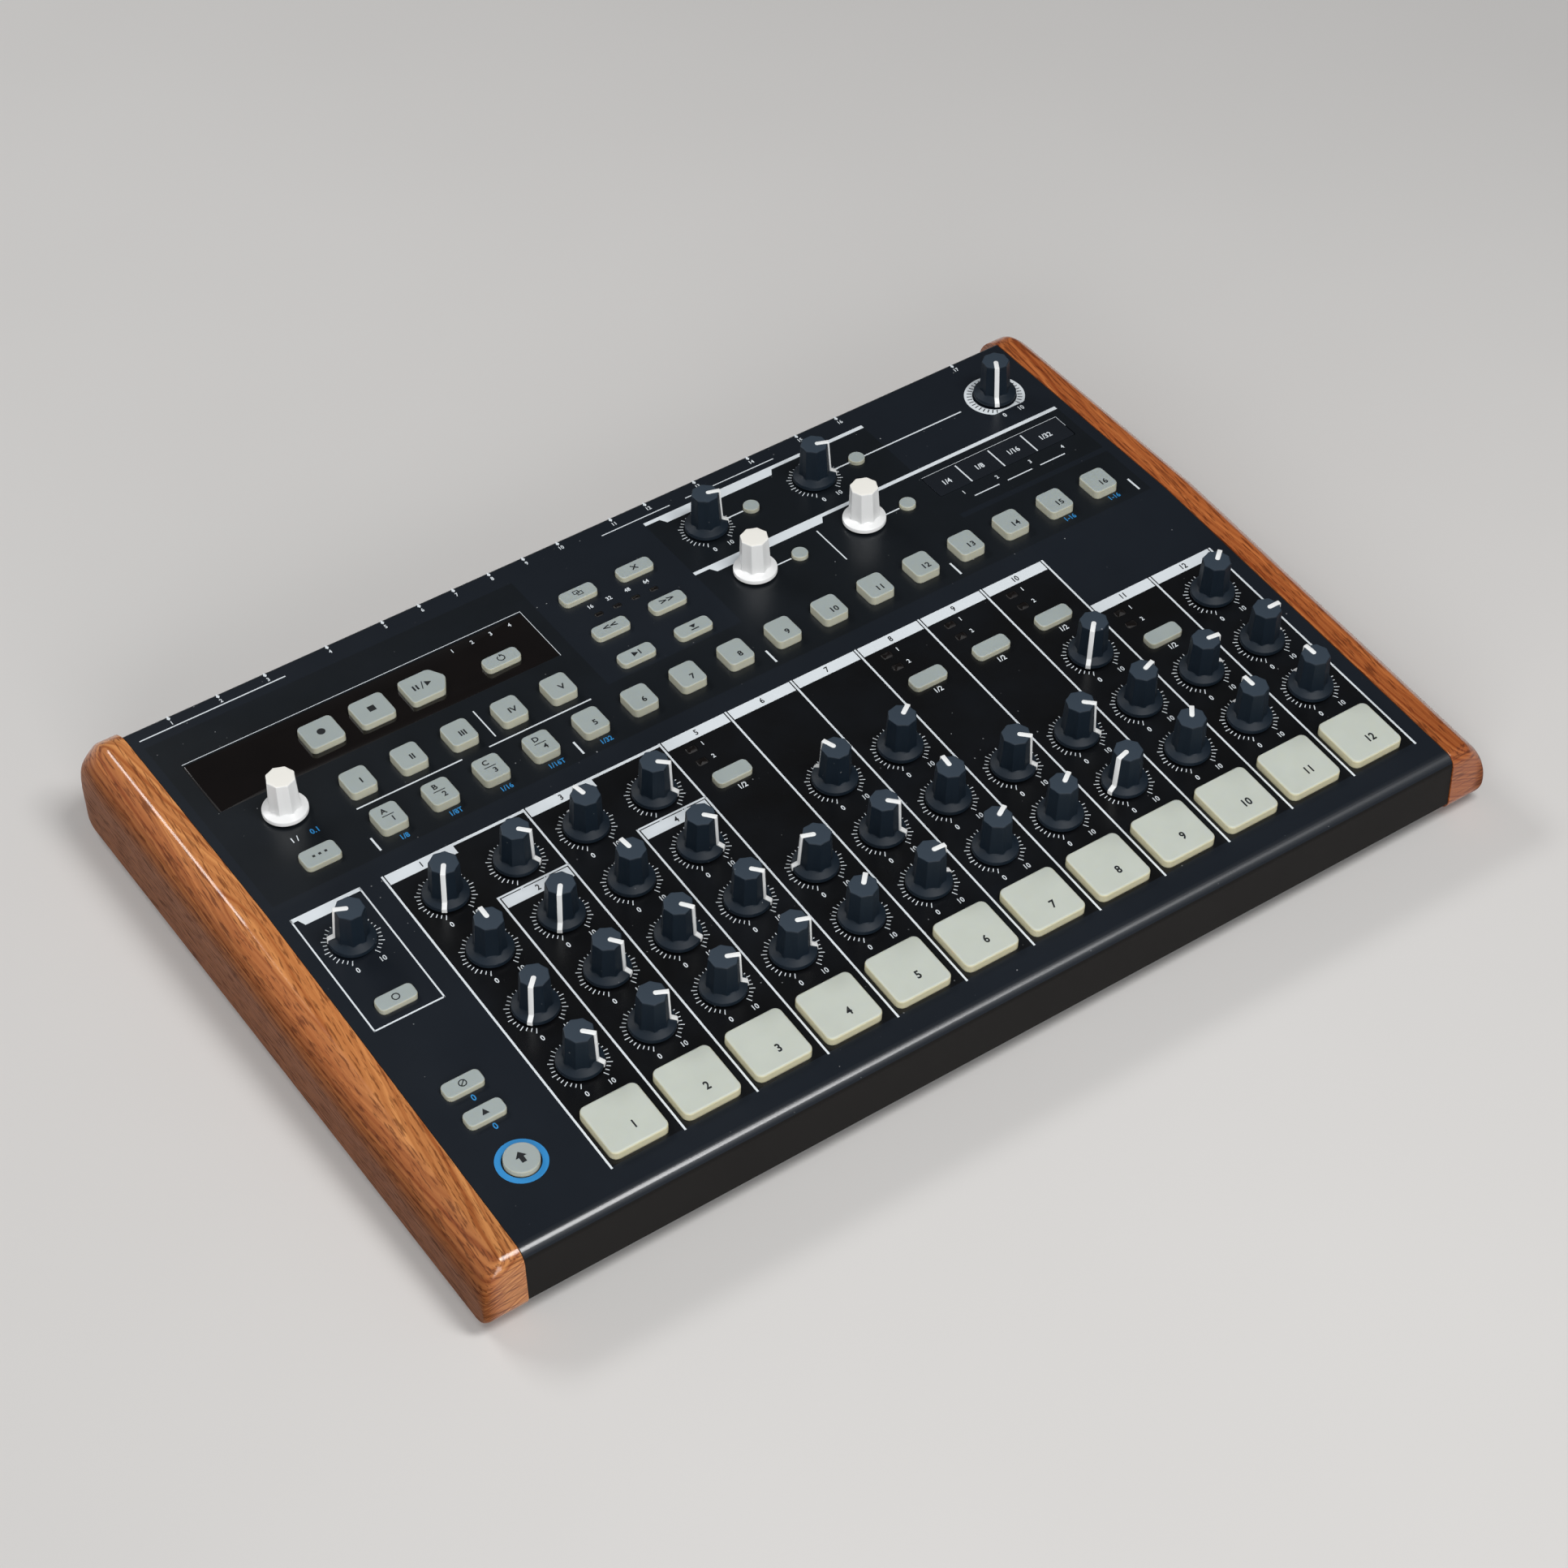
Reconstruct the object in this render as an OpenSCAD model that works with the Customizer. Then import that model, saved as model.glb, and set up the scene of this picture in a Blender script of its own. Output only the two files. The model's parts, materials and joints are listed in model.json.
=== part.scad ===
// Table-top drum machine: sheet-metal case between two wooden cheeks, with rotary
// controls, silicone pads and keys, circuit boards and a rear row of sockets.
// Millimetres, +X right, +Y to the rear, +Z up. The origin is on the table under the middle.

/* [Case] */
// Spacing of the instrument columns, which sets the width of the case
col_pitch = 33; // [32.6:0.2:36]
// Panel left of the first column line
left_margin = 48.3; // [47.5:0.5:55]
// Panel right of the last column line
right_margin = 7.7; // [7.5:0.5:12]
// Length of the sloping front panel from the column lines' ends to the crease
front_len = 179; // [178:0.5:190]
// Length of the rear panel behind the crease
rear_len = 126.5; // [125:0.5:140]
// Panel in front of the column lines, up to the front face
front_run = 15.3; // [14:0.1:20]
// Slope of the front panel in degrees
front_slope = 4.4; // [2:0.1:7]
// Slope of the rear panel in degrees
rear_slope = 0.3; // [0:0.1:1.5]
// Height of the panel at the column lines' ends, above the cheeks' underside
case_h = 32.5; // [32:0.5:40]
// Height of the sheet-metal front face
front_face_h = 26; // [24:0.5:29]
// Thickness of the top panel's sheet
sheet_t = 1.5; // [1.2:0.1:2]
// Outer bend radius between the front face and the front panel
front_bend = 5; // [3.5:0.5:6]
// Outer bend radius between the rear panel and the rear face
rear_bend = 2.2; // [2.1:0.1:4]
// Thickness of the bottom cover's sheet
cover_t = 1.2; // [0.8:0.1:1.6]
// How far the bottom cover lies above the cheeks' underside
cover_lift = 1.5; // [1:0.1:3]
// Length of the rise from the cover's floor to its front edge
cover_rise_l = 18; // [14:1:30]
// Gap between neighbouring case pieces
case_gap = 0.2; // [0.1:0.05:0.3]

/* [Cheeks] */
// Thickness of a wooden cheek
cheek_w = 19.3; // [17:0.1:22]
// Width of the cheek's level top beside the panel
cheek_flat_w = 9.2; // [7:0.1:12]
// Fall of the rounded outside from the level top to the widest line
cheek_fall = 19; // [14:0.5:20]
// How far the wood stands proud of the metal at the front and on top
cheek_proud = 0.5; // [0.2:0.1:1.5]
// How far the wood runs on behind the rear face
cheek_tail = 12.8; // [9:0.2:16]
// Rounding of the outer rear edge along the cheek
cheek_end_l = 13; // [8:0.5:16]
// Rounding of the outer lower edge
cheek_edge_r = 3.6; // [2:0.1:5]
// Rounding of the top front corner
cheek_front_r = 6.5; // [5:0.5:8]
// Rounding of the top rear corner
cheek_rear_r = 12; // [8:0.5:14]
// Rounding of the bottom front corner
cheek_toe_r = 7; // [5:0.5:12]

/* [Feet and screws] */
// Height of a rubber foot below the cheeks' underside
foot_drop = 3.5; // [2:0.5:8]
// Radius of a rubber foot
foot_r = 8; // [6:0.5:11]
// Radius of the screw shanks
screw_r = 1.4; // [1.2:0.1:1.5]
// Length of the screw shanks
screw_l = 9; // [7:0.5:12]
// Radius of the screw heads
screw_head_r = 2.8; // [2.4:0.1:3.2]
// Height of the screw heads
screw_head_h = 1.1; // [0.8:0.1:1.3]
// Radius of the posts that the bottom screws go into
post_r = 3.3; // [2.8:0.1:3.6]
// Play between a screw and its hole
screw_play = 0.1; // [0.05:0.05:0.2]

/* [Knobs] */
// Height of a knob's top above the panel
knob_h = 20.2; // [16:0.2:24]
// Radius of the knob's skirt
skirt_r = 9.7; // [8.5:0.1:10]
// Gap between the skirt and the panel
skirt_gap = 1; // [0.6:0.1:1.5]
// Height of the skirt's upright rim
skirt_rim_h = 2.1; // [1.5:0.1:2.6]
// Height of the skirt's slope up to the body
skirt_slope_h = 1.4; // [1:0.1:2]
// Corner radius of the eight-sided body at its foot
body_foot_r = 7.2; // [6.6:0.1:7.8]
// Corner radius of the eight-sided body at its top
body_top_r = 6.4; // [5.5:0.1:6.5]
// Width of the white pointer
pointer_w = 1.8; // [1.2:0.1:2.4]
// Thickness of the pointer, most of it sunk in the knob
pointer_t = 1.1; // [0.9:0.1:1.4]
// How far the pointer stands out of the knob
pointer_proud = 0.3; // [0.1:0.05:0.5]
// Radius of the control shafts
shaft_r = 3; // [2.5:0.1:3.2]
// Running clearance of a shaft in its bushing
shaft_play = 0.05; // [0.03:0.01:0.08]
// Clearance between a shaft and the panel hole
hole_play = 0.5; // [0.4:0.1:0.8]
// Fit of glued and pressed pieces inside a knob
glue_gap = 0.05; // [0.04:0.01:0.1]

/* [Keys] */
// Side of a drum pad
pad_side = 26; // [24:0.5:26.5]
// Height of a drum pad above the panel
pad_h = 3.8; // [3:0.2:6]
// Corner rounding of a drum pad
pad_corner = 3; // [2:0.5:5]
// Width of a step key
step_w = 12.3; // [11:0.1:14]
// Depth of a step key
step_d = 14; // [12:0.1:15]
// Width of an oblong key
oblong_w = 17; // [15:0.5:18]
// Depth of an oblong key
oblong_d = 7.7; // [6:0.1:8]
// Width of a transport key
transport_w = 16.2; // [14:0.2:18]
// Depth of a transport key
transport_d = 15.4; // [14:0.1:17]
// Length of the play key's point
play_point = 4.5; // [3:0.5:6]
// Width of the tap key
tap_w = 16.3; // [14:0.1:18]
// Depth of the tap key
tap_d = 10.2; // [8:0.1:12]
// Radius of the big round key
shift_r = 7.2; // [6:0.1:8]
// Radius of the small round keys
round_r = 3.7; // [3:0.1:4.2]
// Height of the step and mode keys above the panel
step_h = 4; // [3:0.1:5]
// Height of the oblong, tap and big round keys above the panel
oblong_h = 2.5; // [1.8:0.1:4]
// Height of the transport keys above the panel
transport_h = 3; // [2:0.1:4]
// Height of the round keys above the panel
round_h = 1.8; // [1.4:0.1:3]
// Corner rounding of the keys
key_corner = 2.3; // [1:0.1:2.8]
// Travel of the keys
key_travel = 1; // [0.5:0.1:1.3]
// Travel of the drum pads
pad_travel = 1.2; // [0.5:0.1:1.5]
// Clearance round a key in its opening
key_play = 0.35; // [0.2:0.05:0.5]
// Clearance of a key's flange under the panel, its upper stop
stop_gap = 0.3; // [0.1:0.05:0.4]
// How far a key's flange reaches under the panel
flange_w = 1.1; // [0.8:0.1:1.3]
// Thickness of a key's flange
flange_t = 1; // [0.6:0.1:1.4]

/* [Windows] */
// Width of the display window
window_w = 163.6; // [150:0.2:165]
// Depth of the display window
window_d = 32.2; // [30:0.2:34]
// Width of the touch strip
strip_w = 75; // [60:1:78]
// Depth of the touch strip
strip_d = 14.9; // [12:0.1:16]
// Width of an indicator window
led_w = 5; // [4:0.1:6]
// Depth of an indicator window
led_d = 3.4; // [2.6:0.1:4]
// Width of a page light
page_led_w = 4; // [3:0.1:5]
// Depth of a page light
page_led_d = 2.4; // [2:0.1:3]
// Gap round a window in its opening
window_gap = 0.12; // [0.05:0.01:0.2]
// Width of the rim that holds a window under the panel
window_rim = 1; // [0.6:0.1:1.2]

/* [Inside] */
// Depth of the circuit boards' top face below the panel
board_drop = 11; // [10:0.5:14]
// Thickness of the circuit boards
board_t = 1.6; // [1:0.1:2]
// Side of a potentiometer's body
pot_side = 10; // [9:0.5:12]
// Height of the bushing on a potentiometer
bushing_h = 2.8; // [2:0.1:3.5]
// Wall of the bushing
bushing_wall = 0.9; // [0.6:0.1:1.4]
// Side of a push switch's body
switch_side = 6; // [5:0.2:6.4]
// Height of a push switch
switch_h = 3.6; // [3:0.1:4]
// Radius of a key's stem
stem_r = 1.6; // [1.2:0.1:2]
// Gap between soldered pieces and their board
solder_gap = 0.05; // [0.02:0.01:0.1]

/* [Sockets] */
// Height of the socket row above the cover
socket_z = 20; // [19:0.5:22]
// Bore radius of the large sockets
big_bore_r = 3.25; // [3.2:0.01:3.4]
// Bore radius of the small sockets
small_bore_r = 1.8; // [1.76:0.01:1.9]
// Bore radius of the round data sockets
data_bore_r = 7.2; // [6.8:0.1:7.6]
// Bore radius of the power inlet's mouth
power_bore_r = 3.4; // [3.1:0.1:3.8]
// Width of the square data socket's opening
usb_w = 8.5; // [8.4:0.1:9]
// Height of the square data socket's opening
usb_h = 7.8; // [7.7:0.1:8.4]
// Width of the power rocker
rocker_w = 13; // [10:0.5:16]
// Height of the power rocker
rocker_h = 8.5; // [7:0.5:11]
// Swing of the power rocker to either side, in degrees
rocker_swing = 7; // [4:1:10]
// Radius of the phones level knob
level_knob_r = 5; // [4:0.5:6]
// Radius of the phones level shaft
level_shaft_r = 1.8; // [1.5:0.1:2.2]

/* [Hidden] */
$fn = 48;
eps = 0.01;
columns = 12;
panel_w = left_margin + columns * col_pitch + right_margin;
line0_x = left_margin - panel_w / 2;
depth = cheek_proud + front_run + front_len * cos(front_slope) + rear_len * cos(rear_slope) + cheek_tail;

// Planes: the front panel starts at the column lines' ends, the rear panel at the crease
front_y = cheek_proud + front_run - depth / 2;
front_z = foot_drop + case_h;
crease_y = front_y + front_len * cos(front_slope);
crease_z = front_z + front_len * sin(front_slope);
front_face_y = front_y - front_run;
rear_face_y = crease_y + rear_len * cos(rear_slope);
rear_top_z = crease_z + rear_len * sin(rear_slope);
front_top_z = front_z - front_run * tan(front_slope);
front_foot_z = front_top_z - front_face_h;
cover_z = foot_drop + cover_lift;

// Rows and columns of the front panel, measured from the column lines' ends
row_v = [49, 81.3, 115.3, 149.4];
side_x = -26.2;
function col_mid(c) = (c + 0.5) * col_pitch;

// Places on the rear panel: x from the first column line, y behind the crease. The
// right-hand block keeps its distance from the right edge of the panel.
step_pitch = 24.13;
step_x0 = 17.9;
step_y = 17.8;
mode_y = 43.2;
transport_y = 77.4;
window_x = 45.5;
window_y = 78.6;
menu_x = [152.8, 181.6];
menu_y = [89.3, 62.8, 42.5];
page_led_x0 = 154.3;
page_led_pitch = 9.33;
page_led_y = 74.8;
right_edge = panel_w - left_margin;
filter_x = right_edge - 180.9;
shaper_x = right_edge - 123.3;
volume_x = right_edge - 23.1;
effect_x = right_edge - 179.5;
chance_x = right_edge - 121.8;
filter_y = 94.8;
effect_y = 58.4;
strip_x = right_edge - 47.2;
strip_y = 59.8;

// Knobs: name, column, row and the pointer's rest angle, clockwise from the rear
COLUMN_KNOBS = [
    ["kick1_level_knob", 0, 0, 135], ["kick1_pitch_knob", 0, 1, -135],
    ["kick1_decay_knob", 0, 2, 0], ["kick1_impact_knob", 0, 3, -146],
    ["kick2_level_knob", 1, 0, 115], ["kick2_pitch_knob", 1, 1, 140],
    ["kick2_decay_knob", 1, 2, -144], ["kick1_sweep_knob", 1, 3, 135],
    ["snare_level_knob", 2, 0, 112], ["snare_snap_level_knob", 2, 1, 141],
    ["snare_snap_decay_knob", 2, 2, -7], ["snare_snap_tone_knob", 2, 3, -12],
    ["clap_level_knob", 3, 0, 110], ["clap_tone_knob", 3, 1, 136],
    ["clap_decay_knob", 3, 2, 137], ["snare_drum_tone_knob", 3, 3, 130],
    ["rim_level_knob", 4, 0, 43], ["rim_tone_knob", 4, 1, -70],
    ["closed_hat_level_knob", 5, 0, 93], ["closed_hat_pitch_knob", 5, 1, 135],
    ["closed_hat_decay_knob", 5, 2, -21],
    ["open_hat_level_knob", 6, 0, 59], ["open_hat_pitch_knob", 6, 1, 4],
    ["open_hat_decay_knob", 6, 2, 56],
    ["high_tom_level_knob", 7, 0, 55], ["high_tom_pitch_knob", 7, 1, 133],
    ["low_tom_level_knob", 8, 0, -104], ["low_tom_pitch_knob", 8, 1, 132],
    ["cymbal_level_knob", 9, 0, 37], ["cymbal_tone_knob", 9, 1, 71],
    ["cymbal_decay_knob", 9, 2, -136],
    ["shaker_level_knob", 10, 0, -2], ["shaker_decay_knob", 10, 1, 97],
    ["zap_level_knob", 11, 0, -3], ["zap_pitch_knob", 11, 1, 90],
    ["zap_decay_knob", 11, 2, 50]
];
// Every knob: name, whether it is on the rear panel, place, angle, whether it has a pointer
KNOBS = concat(
    [["metronome_knob", false, [side_x, row_v[3]], -65, true]],
    [for (k = COLUMN_KNOBS) [k[0], false, [col_mid(k[1]), row_v[k[2]]], k[3], true]],
    [["filter_cutoff_knob", true, [filter_x, filter_y], 108, true],
     ["filter_resonance_knob", true, [shaper_x, filter_y], 112, true],
     ["master_volume_knob", true, [volume_x, filter_y + 0.8], -150, true],
     ["tempo_encoder_knob", true, [-13.9, 47.1], 0, false],
     ["swing_encoder_knob", true, [effect_x, effect_y], 0, false],
     ["randomness_encoder_knob", true, [chance_x, effect_y], 0, false]]
);

// Keys: centre and outline size of each, by group
PAD_KEYS = [for (c = [0:columns - 1]) [[c * col_pitch + 15.15, 15.5], "pad"]];
FRONT_KEYS = concat(
    [[[side_x - 0.8, 114.2], "oblong"], [[side_x - 0.8, 63.8], "oblong"],
     [[side_x - 0.8, 47.6], "oblong"], [[side_x - 0.3, 21.7], "shift"]],
    [for (c = [4, 7, 8, 9]) [[c * col_pitch + 15.9, 140.9], "oblong"]],
    [[[10 * col_pitch + 15.7, 106.8], "oblong"]]
);
STEP_KEYS = [for (i = [0:15]) [[step_x0 + i * step_pitch, step_y], "step"]];
WINDOW_KEYS = [
    [[step_x0 + 1.9, transport_y], "transport"],
    [[step_x0 + 1.9 + step_pitch, transport_y], "transport"],
    [[step_x0 + 1.9 + 2 * step_pitch, transport_y], "play"],
    [[104.4, 73.1], "oblong"]
];
MENU_KEYS = concat(
    [for (i = [0:4]) [[step_x0 + i * step_pitch, mode_y], "step"]],
    [[[-15, 16.2], "tap"]],
    [for (x = menu_x) for (y = menu_y) [[x, y], "oblong"]],
    [[[filter_x + 23.7, filter_y + 0.2], "round"], [[shaper_x + 22.9, filter_y + 0.2], "round"],
     [[effect_x + 22, effect_y - 2], "round"], [[chance_x + 21.9, effect_y - 2], "round"]]
);
PAGE_LEDS = [for (i = [0:3]) [page_led_x0 + i * page_led_pitch, page_led_y]];
TYPE_LEDS = concat(
    [for (c = [4, 7, 8, 9]) for (v = [154, 162]) [c * col_pitch + 9.7, v]],
    [for (v = [120, 128]) [10 * col_pitch + 9.1, v]]
);

// Levels below the panel
under = -sheet_t;
flange_z = under - stop_gap - flange_t;
switch_top_z = -board_drop + switch_h;
bushing_z = under - solder_gap;
stop_spare = 0.3;
shaft_foot_z = -board_drop + 1.6;

// Windows: corner rounding, and the rim under the edge of each
window_r = 1;
led_r = 0.8;
rim_t = 0.6;
rim_in = 0.8;
ribbon_x = 190;

// Posts under the front and the rear panel, clear of keys, pots and sockets
FRONT_POSTS = [for (x = [-41.5, 2.5 * col_pitch, 8 * col_pitch, right_edge - 6.5]) [x, 36.6]];
REAR_POSTS = [[-42, 50], [134, 52], [209, 43], [right_edge - 6.2, 40]];

// Sockets along the rear face, from the left: x from the first column line
big_x = [-27.5, 48.3];
small_x = [-4.2, 75.5, 93.7, 110.8, 128.7, 146.2, 163.8, 191.3, 209.2];
data_x = [235.3, 264];
usb_x = 290.5;
power_x = 312.3;
level_x = 18.3;
rocker_x = right_edge - 26.4;
socket_h = cover_z + socket_z;
neck_wall = 1.6;
big_neck_r = big_bore_r + neck_wall;
small_neck_r = small_bore_r + 1.2;
data_neck_r = data_bore_r + 1;
power_neck_r = power_bore_r + 1.2;
level_neck_r = level_shaft_r + shaft_play + neck_wall;
usb_wall = 0.8;
rocker_wall = 1.6;
rocker_room = 0.6;

// ---- Outlines ----------------------------------------------------------------

// A point on the line through p and q, moved left of its direction by d
function side_step(p, q, d) = let (u = (q - p) / norm(q - p)) d * [-u[1], u[0]];
function cross2(u, w) = u[0] * w[1] - u[1] * w[0];
function crossing(p, u, q, w) = p + u * cross2(q - p, w) / cross2(u, w);
// Corner b of a b c with both of its sides moved inwards by d, on a counter-clockwise outline
function inner_corner(a, b, c, d) = crossing(b + side_step(a, b, d), b - a, b + side_step(b, c, d), c - b);
// Round corner of radius r as n steps
function arc_corner(a, b, c, r, n) =
    let (u = (a - b) / norm(a - b), w = (c - b) / norm(c - b),
         half = acos(u * w) / 2, m = (u + w) / norm(u + w),
         mid = b + m * r / sin(half), turn = 90 - half,
         base = atan2(-m[1], -m[0]))
    r < eps ? [b] : [for (i = [0:n]) let (t = base - turn + 2 * turn * i / n) mid + r * [cos(t), sin(t)]];
// Counter-clockwise outline with rounded corners, moved inwards by d
function rounded(corners, radii, d, n) =
    let (k = len(corners),
         in = [for (i = [0:k - 1])
             inner_corner(corners[(i + k - 1) % k], corners[i], corners[(i + 1) % k], d)])
    [for (i = [0:k - 1])
        each arc_corner(in[(i + k - 1) % k], in[i], in[(i + 1) % k], max(radii[i] - d, 0), n)];

module box_outline(w, d, r, grow = 0) {
    x = w / 2 + grow;
    y = d / 2 + grow;
    corners = [[-x, -y], [x, -y], [x, y], [-x, y]];
    polygon(rounded(corners, [for (i = [0:3]) r + grow], 0, 3));
}

module play_outline(grow = 0) {
    x = transport_w / 2;
    y = transport_d / 2;
    corners = [[-x, -y], [x - 1, -y], [x + play_point - 1, 0], [x - 1, y], [-x, y]];
    polygon(rounded(corners, [key_corner, 1.5, 1.5, 1.5, key_corner], -grow, 3));
}

// Outline of a key by its kind
module key_outline(kind, grow = 0) {
    if (kind == "pad") box_outline(pad_side, pad_side, pad_corner, grow);
    if (kind == "step") box_outline(step_w, step_d, key_corner, grow);
    if (kind == "oblong") box_outline(oblong_w, oblong_d, key_corner, grow);
    if (kind == "transport") box_outline(transport_w, transport_d, key_corner, grow);
    if (kind == "tap") box_outline(tap_w, tap_d, key_corner, grow);
    if (kind == "play") play_outline(grow);
    if (kind == "shift") circle(r = shift_r + grow);
    if (kind == "round") circle(r = round_r + grow);
}
function key_top(kind) =
    kind == "pad" ? pad_h :
    kind == "round" ? round_h :
    kind == "step" ? step_h :
    kind == "transport" || kind == "play" ? transport_h : oblong_h;
function key_stroke(kind) = kind == "pad" ? pad_travel : key_travel;

// ---- Places ------------------------------------------------------------------

module on_front(at) {
    translate([line0_x, front_y, front_z])
        rotate([front_slope, 0, 0])
            translate([at[0], at[1], 0]) children();
}
module on_rear(at) {
    translate([line0_x, crease_y, crease_z])
        rotate([rear_slope, 0, 0])
            translate([at[0], at[1], 0]) children();
}
module on_plane(rear, at) {
    if (rear) on_rear(at) children();
    else on_front(at) children();
}
// Looking out of the rear face: local z points to the rear
module on_back(x, z) {
    translate([line0_x + x, rear_face_y, z]) rotate([-90, 0, 0]) children();
}
// Side profile, extruded to the right from x
module side_plate(x, w) {
    translate([x, 0, 0]) rotate([90, 0, 90]) linear_extrude(w) children();
}

// ---- Case --------------------------------------------------------------------

// Corners of the bent sheet's side profile, counter-clockwise from the front foot
function case_corners(drop) = [
    [front_face_y, front_foot_z - drop], [rear_face_y, cover_z - drop], [rear_face_y, rear_top_z],
    [crease_y, crease_z], [front_face_y, front_top_z]
];
case_radii = [0, 0, rear_bend, 40, front_bend];

post_foot_z = cover_z + cover_t + eps;

module post(z_top) {
    difference() {
        cylinder(r = post_r, h = z_top - post_foot_z);
        translate([0, 0, -eps]) cylinder(r = screw_r + screw_play, h = screw_l + 2);
    }
}
module posts() {
    for (p = FRONT_POSTS) {
        z_top = front_z + p[1] * sin(front_slope) - sheet_t / 2;
        translate([line0_x + p[0], front_y + p[1] * cos(front_slope), post_foot_z]) post(z_top);
    }
    for (p = REAR_POSTS) {
        z_top = crease_z + p[1] * sin(rear_slope) - sheet_t / 2;
        translate([line0_x + p[0], crease_y + p[1] * cos(rear_slope), post_foot_z]) post(z_top);
    }
}

module through_panel() {
    translate([0, 0, -sheet_t - 1]) linear_extrude(sheet_t + 2) children();
}

module panel_openings() {
    for (k = KNOBS) on_plane(k[1], k[2]) through_panel() circle(r = shaft_r + hole_play);
    for (k = concat(PAD_KEYS, FRONT_KEYS)) on_front(k[0]) through_panel() key_outline(k[1], key_play);
    for (k = concat(STEP_KEYS, MENU_KEYS)) on_rear(k[0]) through_panel() key_outline(k[1], key_play);
    on_rear([window_x, window_y]) through_panel() box_outline(window_w, window_d, window_r, window_gap);
    on_rear([strip_x, strip_y]) through_panel() box_outline(strip_w, strip_d, window_r, window_gap);
    for (p = PAGE_LEDS) on_rear(p) through_panel() box_outline(page_led_w, page_led_d, led_r, window_gap);
    for (p = TYPE_LEDS) on_front(p) through_panel() box_outline(led_w, led_d, led_r, window_gap);
}

module round_opening(x, r) {
    on_back(x, socket_h) translate([0, 0, -2]) cylinder(r = r + case_gap, h = 4);
}
module square_opening(x, w, h) {
    on_back(x, socket_h) cube([w + 2 * case_gap, h + 2 * case_gap, 8], center = true);
}
module rear_openings() {
    for (x = big_x) round_opening(x, big_neck_r);
    for (x = small_x) round_opening(x, small_neck_r);
    for (x = data_x) round_opening(x, data_neck_r);
    round_opening(power_x, power_neck_r);
    round_opening(level_x, level_neck_r);
    square_opening(usb_x, usb_w + 2 * usb_wall, usb_h + 2 * usb_wall);
    square_opening(rocker_x, rocker_w + 2 * rocker_wall, rocker_h + 2 * rocker_wall);
}

module top_panel() {
    color("#1b2028") difference() {
        union() {
            difference() {
                side_plate(-panel_w / 2 + case_gap, panel_w - 2 * case_gap)
                    polygon(rounded(case_corners(0), case_radii, 0, 14));
                side_plate(-panel_w / 2, panel_w)
                    polygon(rounded(case_corners(20), case_radii, sheet_t, 14));
            }
            posts();
        }
        panel_openings();
        rear_openings();
    }
}

// The cover's floor, its raised front and the two end plates under the panel
floor_front_y = front_face_y + cover_rise_l;
cover_front_y = front_face_y + sheet_t + case_gap;
cover_rear_y = rear_face_y - sheet_t - case_gap;
cover_front_z = front_foot_z - cover_t;
lip_h = 9;

function cover_corners(rise) = [
    [cover_front_y, cover_front_z], [floor_front_y, cover_z], [cover_rear_y, cover_z],
    [cover_rear_y, cover_z + lip_h + rise], [cover_front_y, front_foot_z + lip_h + rise]
];

module end_plate(x) {
    drop = sheet_t + case_gap + 0.1;
    bend_y = front_face_y + front_bend + 1;
    corners = [
        [cover_front_y, cover_front_z], [floor_front_y, cover_z], [cover_rear_y, cover_z],
        [cover_rear_y, rear_top_z - rear_bend - drop], [cover_rear_y - rear_bend, rear_top_z - drop],
        [crease_y, crease_z - drop],
        [bend_y, front_top_z + (bend_y - front_face_y) * tan(front_slope) - drop],
        [cover_front_y, front_top_z - front_bend]
    ];
    side_plate(x, cover_t) polygon(corners);
}

CHEEK_SCREWS = [
    [front_face_y + 45, cover_z + 12], [front_y + 0.84 * front_len, cover_z + 12],
    [crease_y + 0.24 * rear_len, cover_z + 14], [crease_y + 0.75 * rear_len, cover_z + 14]
];
FOOT_X = panel_w / 2 - 22;
FOOT_PLACES = [for (x = [-1, 0, 1]) for (y = [floor_front_y + 16, cover_rear_y - 24]) [x * FOOT_X, y]];

module bottom_cover() {
    color("#17191c") difference() {
        union() {
            difference() {
                side_plate(-panel_w / 2 + case_gap, panel_w - 2 * case_gap) polygon(cover_corners(0));
                side_plate(-panel_w / 2, panel_w)
                    polygon(rounded(cover_corners(20), [0, 0, 0, 0, 0], cover_t, 2));
            }
            end_plate(-panel_w / 2 + case_gap);
            end_plate(panel_w / 2 - case_gap - cover_t);
            io_stands();
        }
        for (p = FRONT_POSTS) screw_hole([line0_x + p[0], front_y + p[1] * cos(front_slope)]);
        for (p = REAR_POSTS) screw_hole([line0_x + p[0], crease_y + p[1] * cos(rear_slope)]);
        for (p = CHEEK_SCREWS) translate([0, p[0], p[1]]) rotate([0, 90, 0])
            cylinder(r = screw_r + screw_play, h = panel_w, center = true);
    }
}
module screw_hole(at) {
    translate([at[0], at[1], cover_z - 4]) cylinder(r = screw_r + screw_play, h = cover_t + 12);
}

// ---- Cheeks ------------------------------------------------------------------

cheek_front_y = front_face_y - cheek_proud;
cheek_rear_y = rear_face_y + cheek_tail;
// Side profile of a cheek, its top, rear, bottom and front moved inwards
function cheek_corners(top, rear, low, front) = [
    [cheek_front_y + front, foot_drop + low], [cheek_rear_y - rear, foot_drop + low],
    [cheek_rear_y - rear, rear_top_z + cheek_proud + cheek_tail * sin(rear_slope) - top],
    [crease_y, crease_z + cheek_proud - top], [cheek_front_y + front, front_top_z + cheek_proud - top]
];
cheek_radii = [cheek_toe_r, 2, cheek_rear_r, 40, cheek_front_r];
// The rounded outside follows an arc from this angle at the top to the level at its widest
cheek_from = 35;
cheek_low_w = cheek_edge_r / 2;

function cheek_reach(t) = (sin(t) - sin(cheek_from)) / (1 - sin(cheek_from));
function cheek_down(t) = (cos(cheek_from) - cos(t)) / cos(cheek_from);

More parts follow.
